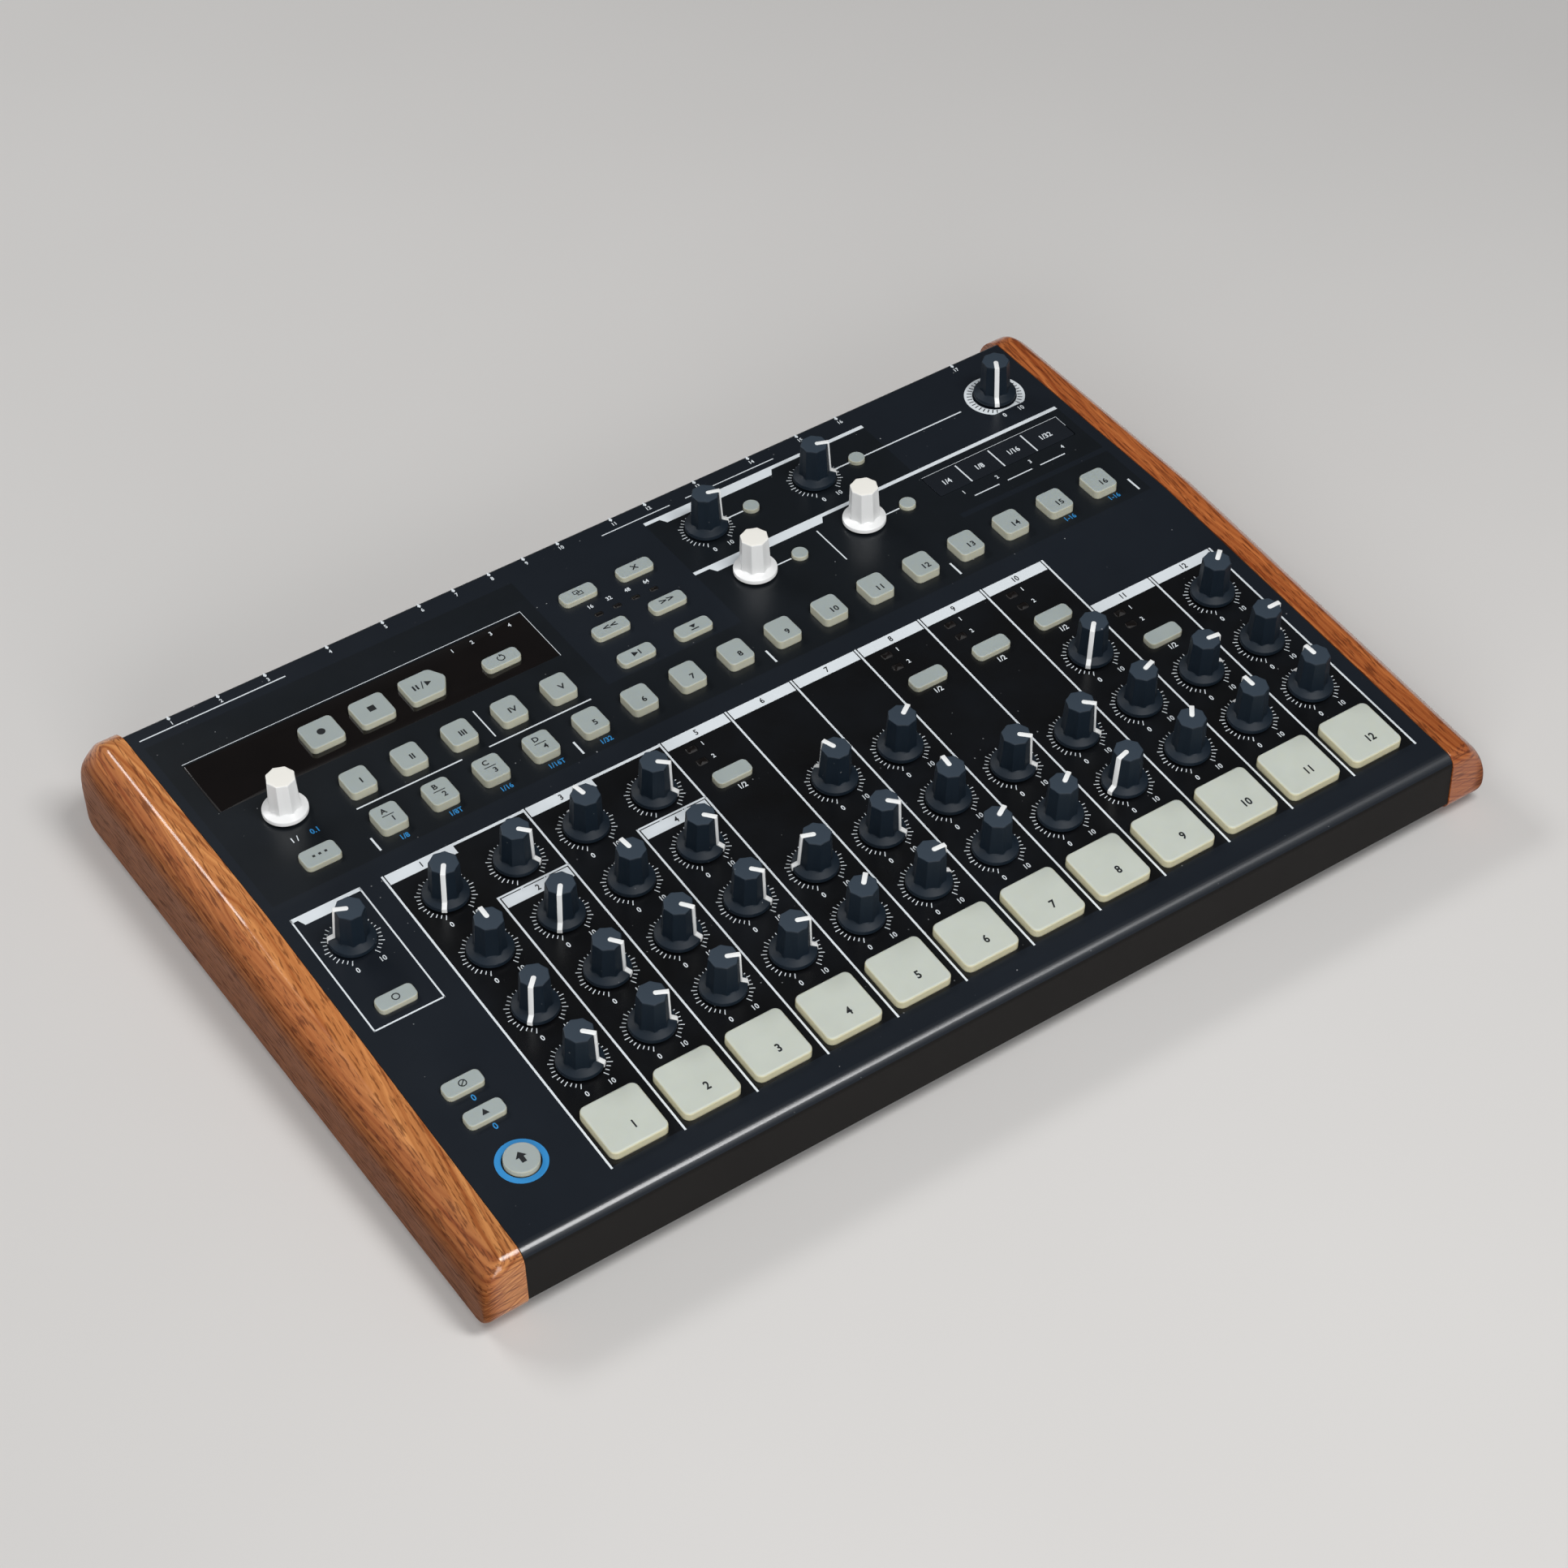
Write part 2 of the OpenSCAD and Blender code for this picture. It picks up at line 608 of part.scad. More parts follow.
// A cheek that spans x 0 at the case to cheek_w outside, level on top and full at the side
module cheek() {
    out_w = cheek_w - cheek_flat_w;
    difference() {
        hull() {
            side_plate(0, cheek_flat_w) polygon(rounded(cheek_corners(0, 0, 0, 0), cheek_radii, 0, 6));
            for (t = [cheek_from + 11:11:90]) {
                x = cheek_flat_w + out_w * cheek_reach(t);
                away = max(x - (cheek_w - cheek_edge_r), 0) / cheek_edge_r;
                low = cheek_low_w * (1 - sqrt(1 - away * away));
                rear = cheek_end_l * (1 - sqrt(1 - away * away));
                side_plate(x - 0.2, 0.2) polygon(rounded(
                    cheek_corners(cheek_fall * cheek_down(t), rear, low, low / 2), cheek_radii, 0, 6));
            }
        }
        for (p = CHEEK_SCREWS) translate([-eps, p[0], p[1]]) rotate([0, 90, 0])
            cylinder(r = screw_r + screw_play, h = screw_l - cover_t + 1);
    }
}
module left_cheek() {
    color("#a8602f") mirror([1, 0, 0]) translate([panel_w / 2, 0, 0]) cheek();
}
module right_cheek() {
    color("#a8602f") translate([panel_w / 2, 0, 0]) cheek();
}

// ---- Feet and screws ---------------------------------------------------------

module rubber_feet() {
    color("#202020") for (p = FOOT_PLACES) translate([p[0], p[1], 0]) {
        cylinder(r1 = foot_r - 0.8, r2 = foot_r, h = 0.8);
        translate([0, 0, 0.8]) cylinder(r = foot_r, h = cover_z - 0.8);
    }
}

// A pan-head screw: its head below z 0, its shank above
module screw() {
    cylinder(r = screw_r, h = screw_l);
    difference() {
        translate([0, 0, -screw_head_h])
            cylinder(r1 = screw_head_r - 0.5, r2 = screw_head_r, h = screw_head_h);
        translate([0, 0, -screw_head_h + 0.3]) cube([0.6, 3, 0.8], center = true);
        translate([0, 0, -screw_head_h + 0.3]) cube([3, 0.6, 0.8], center = true);
    }
}
module screws() {
    color("#5a5d60") {
        for (p = FRONT_POSTS)
            translate([line0_x + p[0], front_y + p[1] * cos(front_slope), cover_z - eps]) screw();
        for (p = REAR_POSTS)
            translate([line0_x + p[0], crease_y + p[1] * cos(rear_slope), cover_z - eps]) screw();
        for (p = CHEEK_SCREWS) for (s = [0, 1]) mirror([s, 0, 0])
            translate([panel_w / 2 - case_gap - cover_t - eps, p[0], p[1]]) rotate([0, 90, 0]) screw();
    }
}

// ---- Boards ------------------------------------------------------------------

module board_slab(x0, x1, y0, y1, z_top, t) {
    translate([x0, y0, z_top - t]) cube([x1 - x0, y1 - y0, t]);
}
module post_clearances(posts, y0, slope) {
    for (p = posts) translate([line0_x + p[0], y0 + p[1] * cos(slope), cover_z])
        cylinder(r = post_r + 0.6, h = rear_top_z);
}
io_depth = 25;
io_board_y = cover_rear_y - io_depth - 1;
io_board_z = socket_h - 8.5;
IO_STANDS = [for (x = [-41, 62, 172, 330]) [line0_x + x, io_board_y + 4]];

module circuit_boards() {
    color("#1d4a2c") {
        difference() {
            on_front([0, 0])
                board_slab(-left_margin + 4, right_edge - 4, -2, front_len - 11, -board_drop, board_t);
            post_clearances(FRONT_POSTS, front_y, front_slope);
        }
        difference() {
            on_rear([0, 0]) board_slab(-left_margin + 4, right_edge - 4, 4, 104, -board_drop, board_t);
            post_clearances(REAR_POSTS, crease_y, rear_slope);
        }
        difference() {
            translate([line0_x - left_margin + 4, io_board_y, io_board_z - board_t])
                cube([right_edge - 24, io_depth, board_t]);
            for (p = IO_STANDS) translate([p[0], p[1], 0]) cylinder(r = screw_r, h = rear_top_z);
        }
        on_front([ribbon_x, front_len - 20]) under_board([34, 5, 5]);
        on_rear([ribbon_x, 12]) under_board([34, 5, 5]);
        ribbon();
        on_rear([90, 60]) under_board([20, 20, 1.6]);
        on_rear([210, 70]) under_board([14, 14, 1.2]);
    }
}
// A piece soldered under a board
module under_board(size) {
    translate([0, 0, -board_drop - board_t - size[2] / 2 - solder_gap]) cube(size, center = true);
}
// Flat cable from the front board's header to the rear board's
module ribbon() {
    y0 = front_y + (front_len - 20) * cos(front_slope) + 2;
    y1 = crease_y + 10;
    z1 = crease_z - board_drop - board_t - 3;
    z0 = z1 - (front_len - (y0 - front_y)) * sin(front_slope);
    side_plate(line0_x + ribbon_x - 15, 30)
        polygon([[y0, z0 - 0.9], [y1, z1 - 0.9], [y1, z1], [y0, z0]]);
}

// Stands for the socket board, on the cover's floor
module io_stands() {
    rise = io_board_z - board_t - solder_gap - cover_z - cover_t + eps;
    for (p = IO_STANDS) translate([p[0], p[1], cover_z + cover_t - eps]) {
        cylinder(r = screw_r + 1.2, h = rise);
        cylinder(r = screw_r - screw_play, h = rise + board_t + 1);
    }
}

module pot() {
    z0 = -board_drop + solder_gap;
    difference() {
        union() {
            translate([0, 0, (z0 + bushing_z - bushing_h) / 2])
                cube([pot_side, pot_side, bushing_z - bushing_h - z0], center = true);
            translate([0, 0, bushing_z - bushing_h - eps])
                cylinder(r = shaft_r + shaft_play + bushing_wall, h = bushing_h + eps);
        }
        translate([0, 0, shaft_foot_z - stop_spare]) cylinder(r = shaft_r + shaft_play, h = board_drop);
    }
}

module push_switch() {
    translate([0, 0, -board_drop + solder_gap]) {
        translate([-switch_side / 2, -switch_side / 2, 0]) cube([switch_side, switch_side, switch_h - 0.8]);
        cylinder(r = stem_r, h = switch_h - solder_gap);
    }
}
module pots_and_switches() {
    color("#6f7a72") {
        for (k = KNOBS) on_plane(k[1], k[2]) pot();
        for (k = concat(PAD_KEYS, FRONT_KEYS)) on_front(k[0]) push_switch();
        for (k = concat(STEP_KEYS, WINDOW_KEYS, MENU_KEYS)) on_rear(k[0]) push_switch();
    }
}

// ---- Sockets -----------------------------------------------------------------

seat_z = -sheet_t - case_gap;

// Body of a socket behind the rear face, standing on the socket board
module socket_body(w, d, up) {
    down = socket_h - io_board_z - solder_gap;
    translate([-w / 2, -up, seat_z - d]) cube([w, up + down, d]);
}
module big_socket() {
    difference() {
        union() {
            socket_body(15, 23, 7.5);
            translate([0, 0, seat_z - eps]) cylinder(r = big_neck_r, h = 3.4);
            translate([0, 0, case_gap]) cylinder(r = 7, h = 2, $fn = 6);
        }
        translate([0, 0, -20]) cylinder(r = big_bore_r, h = 30);
    }
}
module small_socket() {
    difference() {
        union() {
            socket_body(8, 14, 4.5);
            translate([0, 0, seat_z - eps]) cylinder(r = small_neck_r, h = 3.1);
            translate([0, 0, case_gap]) cylinder(r = small_neck_r + 1, h = 1.4);
        }
        translate([0, 0, -13]) cylinder(r = small_bore_r, h = 20);
    }
}
data_depth = 5;
module data_socket() {
    difference() {
        union() {
            socket_body(18, 14, 9);
            translate([0, 0, seat_z - eps]) cylinder(r = data_neck_r, h = 2.4);
        }
        translate([0, 0, -data_depth]) cylinder(r = data_bore_r, h = 20);
        for (t = [0:45:180]) rotate([0, 0, t]) translate([4.4, 0, -data_depth - 6]) cylinder(r = 0.8, h = 8);
    }
}
power_mouth = 3.4;
module power_socket() {
    difference() {
        union() {
            socket_body(10, 13, 5.5);
            translate([0, 0, seat_z - eps]) cylinder(r = power_neck_r, h = 2.4);
        }
        translate([0, 0, -power_mouth]) cylinder(r = power_bore_r, h = 20);
        translate([0, 0, -10]) cylinder(r = power_bore_r - 0.3, h = 10);
    }
    translate([0, 0, -10 - eps]) cylinder(r = 0.9, h = 6);
}
usb_depth = 9;
usb_clear = 4.6;
module usb_socket() {
    difference() {
        union() {
            socket_body(usb_w + 2 * usb_wall, usb_depth + 4, usb_h / 2 + usb_wall);
            translate([-usb_w / 2 - usb_wall, -usb_h / 2 - usb_wall, seat_z - eps])
                cube([usb_w + 2 * usb_wall, usb_h + 2 * usb_wall, 2.3]);
        }
        translate([-usb_w / 2, -usb_h / 2, -usb_depth]) cube([usb_w, usb_h, 20]);
    }
    translate([-2.8, -1.6, -usb_depth - eps]) cube([5.6, 3.2, usb_depth - usb_clear]);
}
module level_pot() {
    difference() {
        union() {
            socket_body(10, 9, 5);
            translate([0, 0, seat_z - eps]) cylinder(r = level_neck_r, h = 2.4);
        }
        translate([0, 0, -8]) cylinder(r = level_shaft_r + shaft_play, h = 20);
    }
}
rocker_axle_r = 1.2;
rocker_axle_z = -3;
rocker_depth = 9;
module rocker_housing() {
    w = rocker_w + 2 * rocker_room;
    h = rocker_h + 2 * case_gap;
    wall = rocker_wall - rocker_room;
    difference() {
        union() {
            translate([-w / 2 - wall, -h / 2 - rocker_wall + case_gap, -rocker_depth])
                cube([w + 2 * wall, h + 2 * rocker_wall - 2 * case_gap, rocker_depth + 0.5]);
            translate([-w / 2 - wall - 1.2, -h / 2 - rocker_wall - 1, case_gap])
                cube([w + 2 * wall + 2.4, h + 2 * rocker_wall + 2, 1]);
        }
        translate([-w / 2, -h / 2, -rocker_depth + 1]) cube([w, h, 20]);
        translate([0, 0, rocker_axle_z]) rotate([90, 0, 0])
            cylinder(r = rocker_axle_r + shaft_play, h = rocker_h + 2, center = true);
    }
}
module rear_sockets() {
    color("#2a2c2e") {
        for (x = big_x) on_back(x, socket_h) big_socket();
        for (x = small_x) on_back(x, socket_h) small_socket();
        for (x = data_x) on_back(x, socket_h) data_socket();
        on_back(usb_x, socket_h) usb_socket();
        on_back(power_x, socket_h) power_socket();
        on_back(level_x, socket_h) level_pot();
        on_back(rocker_x, socket_h) rocker_housing();
    }
}

// The rocker rests pressed in on its left side
module power_rocker() {
    w = rocker_w / 2;
    face = -rocker_axle_z;
    color("#151515") on_back(rocker_x, socket_h)
        translate([0, 0, rocker_axle_z]) rotate([0, rocker_swing, 0]) {
        translate([0, rocker_h / 2 - 0.1, 0]) rotate([90, 0, 0]) linear_extrude(rocker_h - 0.2)
            polygon([
                [-w + 1.5, -2.6], [w - 1.5, -2.6], [w, face], [w, face + 1.6],
                [0, face + 0.6], [-w, face + 1.6], [-w, face]
            ]);
        rotate([90, 0, 0]) cylinder(r = rocker_axle_r, h = rocker_h + 1.8, center = true);
    }
}
module phones_level_knob() {
    on_back(level_x, socket_h) {
        color("#2b323a") difference() {
            translate([0, 0, 1.2]) cylinder(r = level_knob_r, h = 6.6);
            translate([0, 0, -1]) cylinder(r = level_shaft_r + glue_gap, h = 6.5);
            translate([-0.5, -level_knob_r - 1, 7]) cube([1, level_knob_r, 2]);
        }
        color("#9a9ea0") translate([0, 0, -7.7]) cylinder(r = level_shaft_r, h = 13);
    }
}

// ---- Windows -----------------------------------------------------------------

// A pane flush with the panel, with a rim that holds it under the opening's edge
module pane(w, d, r) {
    translate([0, 0, under]) linear_extrude(sheet_t - solder_gap) box_outline(w, d, r);
    translate([0, 0, under - rim_t]) linear_extrude(rim_t) difference() {
        box_outline(w, d, r, window_rim);
        box_outline(w, d, r, -rim_in);
    }
}
module display_lenses() {
    color("#0f0d0c") {
        difference() {
            on_rear([window_x, window_y]) pane(window_w, window_d, window_r);
            for (k = WINDOW_KEYS) on_rear(k[0]) through_panel() key_outline(k[1], key_play);
        }
        for (p = PAGE_LEDS) on_rear(p) pane(page_led_w, page_led_d, led_r);
        for (p = TYPE_LEDS) on_front(p) pane(led_w, led_d, led_r);
    }
}
module touch_strip() {
    color("#101214") on_rear([strip_x, strip_y]) pane(strip_w, strip_d, window_r);
}

// ---- Keys --------------------------------------------------------------------

// A key with the flange that stops it under the panel and the stem over its switch
module key(kind) {
    stem_z = switch_top_z + key_stroke(kind) + stop_spare;
    translate([0, 0, flange_z]) linear_extrude(key_top(kind) - flange_z) key_outline(kind);
    translate([0, 0, flange_z]) linear_extrude(flange_t) key_outline(kind, flange_w + key_play);
    translate([0, 0, stem_z]) cylinder(r = stem_r, h = flange_z - stem_z + eps);
}
module drum_pads() {
    color("#cfcdbb") for (k = PAD_KEYS) on_front(k[0]) key(k[1]);
}
module front_keys() {
    color("#a9ada5") for (k = FRONT_KEYS) on_front(k[0]) key(k[1]);
}
module step_keys() {
    color("#a9ada5") for (k = STEP_KEYS) on_rear(k[0]) key(k[1]);
}
module menu_keys() {
    color("#a9ada5") for (k = concat(WINDOW_KEYS, MENU_KEYS)) on_rear(k[0]) key(k[1]);
}

// ---- Knobs -------------------------------------------------------------------

rim_top_z = skirt_gap + skirt_rim_h;
body_foot_z = rim_top_z + skirt_slope_h;
cap_bore_z = knob_h - 4;

// Eight-sided taper with a corner on +Y, as four crossing wedges
module eight_sided(r0, r1, z0, z1) {
    a0 = r0 * cos(22.5);
    a1 = r1 * cos(22.5);
    intersection_for (i = [0:3]) rotate([0, 0, 22.5 + 45 * i]) rotate([90, 0, 0])
        linear_extrude(4 * r0, center = true) polygon([[-a0, z0], [a0, z0], [a1, z1], [-a1, z1]]);
}

// Side view of the pointer: out along the top, down the body and over the skirt.
// It stands proud by p and reaches d under the knob's surface
module pointer_side(p, d, r0) {
    polygon([
        [r0, knob_h + p], [body_top_r + p, knob_h + p], [body_foot_r + p, body_foot_z + p / 2],
        [skirt_r + p, rim_top_z + p / 2], [skirt_r + p, skirt_gap + 0.3],
        [skirt_r - d, skirt_gap + 0.3], [skirt_r - d, rim_top_z - d / 2],
        [body_foot_r - d, body_foot_z - d / 2], [body_top_r - d, knob_h - d], [r0, knob_h - d]
    ]);
}
module pointer_blade(w, p, d, r0) {
    rotate([90, 0, 90]) linear_extrude(w, center = true) pointer_side(p, d, r0);
}
pointer_r = 0.4;
pointer_sunk = pointer_t - pointer_proud;

module cap(with_pointer) {
    difference() {
        union() {
            translate([0, 0, skirt_gap]) cylinder(r = skirt_r, h = skirt_rim_h);
            translate([0, 0, rim_top_z - eps])
                cylinder(r1 = skirt_r, r2 = body_foot_r - 0.6, h = skirt_slope_h + eps);
            eight_sided(body_foot_r, body_top_r, rim_top_z, knob_h);
        }
        translate([0, 0, skirt_gap - 1]) cylinder(r = shaft_r + glue_gap, h = cap_bore_z - skirt_gap + 1);
        if (with_pointer)
            pointer_blade(pointer_w + 2 * glue_gap, 2, pointer_sunk + glue_gap, pointer_r - glue_gap);
    }
}
// k: name, on the rear panel, place, rest angle, whether it has a pointer
module knob(k) {
    on_plane(k[1], k[2]) rotate([0, 0, -k[3]]) {
        color(k[4] ? "#2b323a" : "#eceae4") cap(k[4]);
        if (k[4]) color("#f2f2ee") pointer_blade(pointer_w, pointer_proud, pointer_sunk, pointer_r);
        color("#9a9ea0") translate([0, 0, shaft_foot_z])
            cylinder(r = shaft_r, h = cap_bore_z - 0.2 - shaft_foot_z);
    }
}

top_panel();
bottom_cover();
left_cheek();
right_cheek();
rubber_feet();
screws();
circuit_boards();
pots_and_switches();
rear_sockets();
display_lenses();
touch_strip();
drum_pads();
front_keys();
step_keys();
menu_keys();
power_rocker();
phones_level_knob();
for (k = KNOBS) knob(k);
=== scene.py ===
"""Looks of a table-top drum machine: sheet-metal case, wooden cheeks, knobs, pads and keys.

Pieces are modelled in millimetres, in the plane that carries them, and placed in metres.
"""

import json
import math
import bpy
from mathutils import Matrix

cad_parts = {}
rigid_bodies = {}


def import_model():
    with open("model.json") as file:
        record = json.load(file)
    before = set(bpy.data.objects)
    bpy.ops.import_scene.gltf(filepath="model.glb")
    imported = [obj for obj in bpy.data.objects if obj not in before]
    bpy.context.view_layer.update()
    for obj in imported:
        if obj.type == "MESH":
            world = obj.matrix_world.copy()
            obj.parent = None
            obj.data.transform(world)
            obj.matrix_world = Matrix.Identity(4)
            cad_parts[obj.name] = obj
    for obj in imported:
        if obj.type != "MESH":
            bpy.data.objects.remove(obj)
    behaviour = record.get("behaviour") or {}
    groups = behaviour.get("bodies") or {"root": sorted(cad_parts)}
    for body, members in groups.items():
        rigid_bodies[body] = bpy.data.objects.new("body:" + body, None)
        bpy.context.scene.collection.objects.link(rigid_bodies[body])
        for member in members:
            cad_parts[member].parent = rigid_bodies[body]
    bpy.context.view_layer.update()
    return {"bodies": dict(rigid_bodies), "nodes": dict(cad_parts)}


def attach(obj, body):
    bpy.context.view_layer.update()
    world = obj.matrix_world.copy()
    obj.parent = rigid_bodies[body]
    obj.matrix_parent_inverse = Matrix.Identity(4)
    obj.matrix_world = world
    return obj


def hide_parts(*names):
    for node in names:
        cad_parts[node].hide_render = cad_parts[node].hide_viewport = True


bl_info = {
    "name": "Drum Machine",
    "version": (1, 0, 0),
    "blender": (4, 5, 0),
    "location": "3D View > Sidebar > Drum Machine",
    "description": "Builds the visible pieces of a drum machine round its packed solids",
    "category": "Add Mesh",
}

import bmesh
import bpy
from bpy.props import FloatProperty, FloatVectorProperty, IntProperty, PointerProperty
from mathutils import Matrix, Vector

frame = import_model()
BODIES = sorted(frame["bodies"])
MM = 0.001
# Thickness of a print in millimetres, and the height of capitals as a share of the font's size
INK, CAPITALS = 0.05, 0.7


# ---- Sizes and colours --------------------------------------------------------


def length(name, description, default):
    """A size that the sidebar shows in the scene's own unit."""
    return FloatProperty(name=name, description=description, default=default, unit="LENGTH", precision=5)


def colour(name, description, hex_value):
    """A colour given as it looks on screen."""
    return FloatVectorProperty(
        name=name, description=description, default=linear(hex_value), subtype="COLOR", size=3, min=0, max=1
    )


def linear(hex_value):
    """Scene-linear colour of a screen colour such as 1c2127."""
    parts = [int(hex_value[i : i + 2], 16) / 255 for i in (0, 2, 4)]
    return tuple(c / 12.92 if c <= 0.04045 else ((c + 0.055) / 1.055) ** 2.4 for c in parts)


class CaseSizes(bpy.types.PropertyGroup):
    """Sizes of the case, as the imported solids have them."""

    col_pitch: length("Column pitch", "Spacing of the instrument columns", 0.033)
    columns: IntProperty(name="Columns", description="Number of instrument columns", default=12)
    left_margin: length("Left margin", "Panel left of the first column line", 0.0483)
    right_margin: length("Right margin", "Panel right of the last column line", 0.0077)
    front_len: length("Front panel", "Length of the front panel up to the crease", 0.179)
    rear_len: length("Rear panel", "Length of the panel behind the crease", 0.1265)
    front_run: length("Front run", "Panel in front of the column lines", 0.0153)
    case_h: length("Case height", "Panel above the cheeks' underside at the column lines", 0.0325)
    front_slope: FloatProperty(
        name="Front slope", description="Slope of the front panel", default=math.radians(4.4), subtype="ANGLE"
    )
    rear_slope: FloatProperty(
        name="Rear slope", description="Slope of the rear panel", default=math.radians(0.3), subtype="ANGLE"
    )
    foot_drop: length("Foot height", "Height of the rubber feet below the cheeks", 0.0035)

    cheek_w: length("Cheek width", "Thickness of a wooden cheek", 0.0193)
    cheek_flat_w: length("Cheek top", "Width of the cheek's level top", 0.0092)
    cheek_fall: length("Cheek fall", "Fall of the rounded outside to its widest line", 0.019)
    cheek_proud: length("Cheek proud", "How far the wood stands proud of the metal", 0.0005)
    cheek_tail: length("Cheek tail", "How far the wood runs on behind the rear face", 0.0128)
    cheek_end_l: length("Cheek end", "Rounding of the outer rear edge along the cheek", 0.013)
    cheek_edge_r: length("Cheek edge", "Rounding of the outer lower edge", 0.0036)
    socket_z: length("Socket height", "Height of the sockets' middle line above the table", 0.025)


class ControlSizes(bpy.types.PropertyGroup):
    """Sizes of the knobs, pads and keys."""

    knob_h: length("Knob height", "Top of a knob above the panel", 0.0202)
    skirt_r: length("Skirt radius", "Radius of the knob's skirt", 0.0097)
    skirt_gap: length("Skirt gap", "Gap between the skirt and the panel", 0.001)
    body_foot_r: length("Body foot", "Corner radius of the eight-sided body at its foot", 0.0072)
    body_top_r: length("Body top", "Corner radius of the eight-sided body at its top", 0.0064)
    pointer_w: length("Pointer width", "Width of the white pointer", 0.0021)
    shaft_r: length("Shaft radius", "Radius of the control shafts", 0.003)
    pad_side: length("Pad side", "Side of a drum pad", 0.026)
    pad_h: length("Pad height", "Top of a drum pad above the panel", 0.0038)
    step_w: length("Step key width", "Width of a step key", 0.0123)
    step_d: length("Step key depth", "Depth of a step key", 0.014)
    step_h: length("Step key height", "Top of a step key above the panel", 0.004)
    facet_scoop: length("Facet scoop", "How far a knob's facets are hollowed", 0.0003)


class Finishes(bpy.types.PropertyGroup):
    """Colours of the finishes, as they look under plain light."""

    metal: colour("Case paint", "Powder coat of the case", "171c23")
    columns: colour("Column print", "Black field under the instrument columns", "0b0b0c")
    field: colour("Rear print", "Dark field on the rear panel", "12161a")
    wood_light: colour("Wood, light", "Pale bands of the cheeks", "e39a5b")
    wood_dark: colour("Wood, dark", "Dark bands of the cheeks", "a96031")
    knob: colour("Knob", "Blue-grey plastic of the knobs", "121e29")
    pointer: colour("Pointer", "Off-white of the pointers", "f1f2f1")
    encoder: colour("Encoder knob", "White plastic of the encoder knobs", "f8f8f7")
    pad: colour("Pad", "Milky silicone of the pads", "c6cbc1")
    key: colour("Key", "Grey silicone of the keys", "a3acaa")
    white_ink: colour("White print", "White lettering and lines", "dfe5e9")
    blue_ink: colour("Blue print", "Blue lettering and ring", "2a88c8")
    black_ink: colour("Black print", "Legends on keys and bars", "15181b")


# ---- Places -------------------------------------------------------------------

# Millimetres across from the first column line, and behind the front panel's front or the crease
ROW_V = (49.0, 81.3, 115.3, 149.4)
SIDE_X = -26.2
SHIFT_AT = (SIDE_X - 0.3, 21.7)
STEP_X0, STEP_PITCH, STEP_Y, MODE_Y = 17.9, 24.13, 17.8, 43.2
TRANSPORT_Y = 77.4
MENU_X, MENU_Y = (152.8, 181.6), (89.3, 62.8, 42.5)
# Columns, counted from 0, that have a key for two sounds
PAIR_COLUMNS = (4, 7, 8, 9)
# On the rear face: jack sockets, round data sockets, square data socket, power inlet, phones level
JACKS = (-27.5, 48.3, -4.2, 75.5, 93.7, 110.8, 128.7, 146.2, 163.8, 191.3, 209.2)
DATA = (235.3, 264)
SQUARE, INLET, LEVEL = 290.5, 312.3, 18.3
# Each column's knobs from the front, with the pointer's rest in degrees clockwise from the rear
COLUMN_KNOBS = (
    {"kick1_level": 135, "kick1_pitch": -135, "kick1_decay": 0, "kick1_impact": -146},
    {"kick2_level": 115, "kick2_pitch": 140, "kick2_decay": -144, "kick1_sweep": 135},
    {"snare_level": 112, "snare_snap_level": 141, "snare_snap_decay": -7, "snare_snap_tone": -12},
    {"clap_level": 110, "clap_tone": 136, "clap_decay": 137, "snare_drum_tone": 130},
    {"rim_level": 43, "rim_tone": -70},
    {"closed_hat_level": 93, "closed_hat_pitch": 135, "closed_hat_decay": -21},
    {"open_hat_level": 59, "open_hat_pitch": 4, "open_hat_decay": 56},
    {"high_tom_level": 55, "high_tom_pitch": 133},
    {"low_tom_level": -104, "low_tom_pitch": 132},
    {"cymbal_level": 37, "cymbal_tone": 71, "cymbal_decay": -136},
    {"shaker_level": -2, "shaker_decay": 97},
    {"zap_level": -3, "zap_pitch": 90, "zap_decay": 50},
)


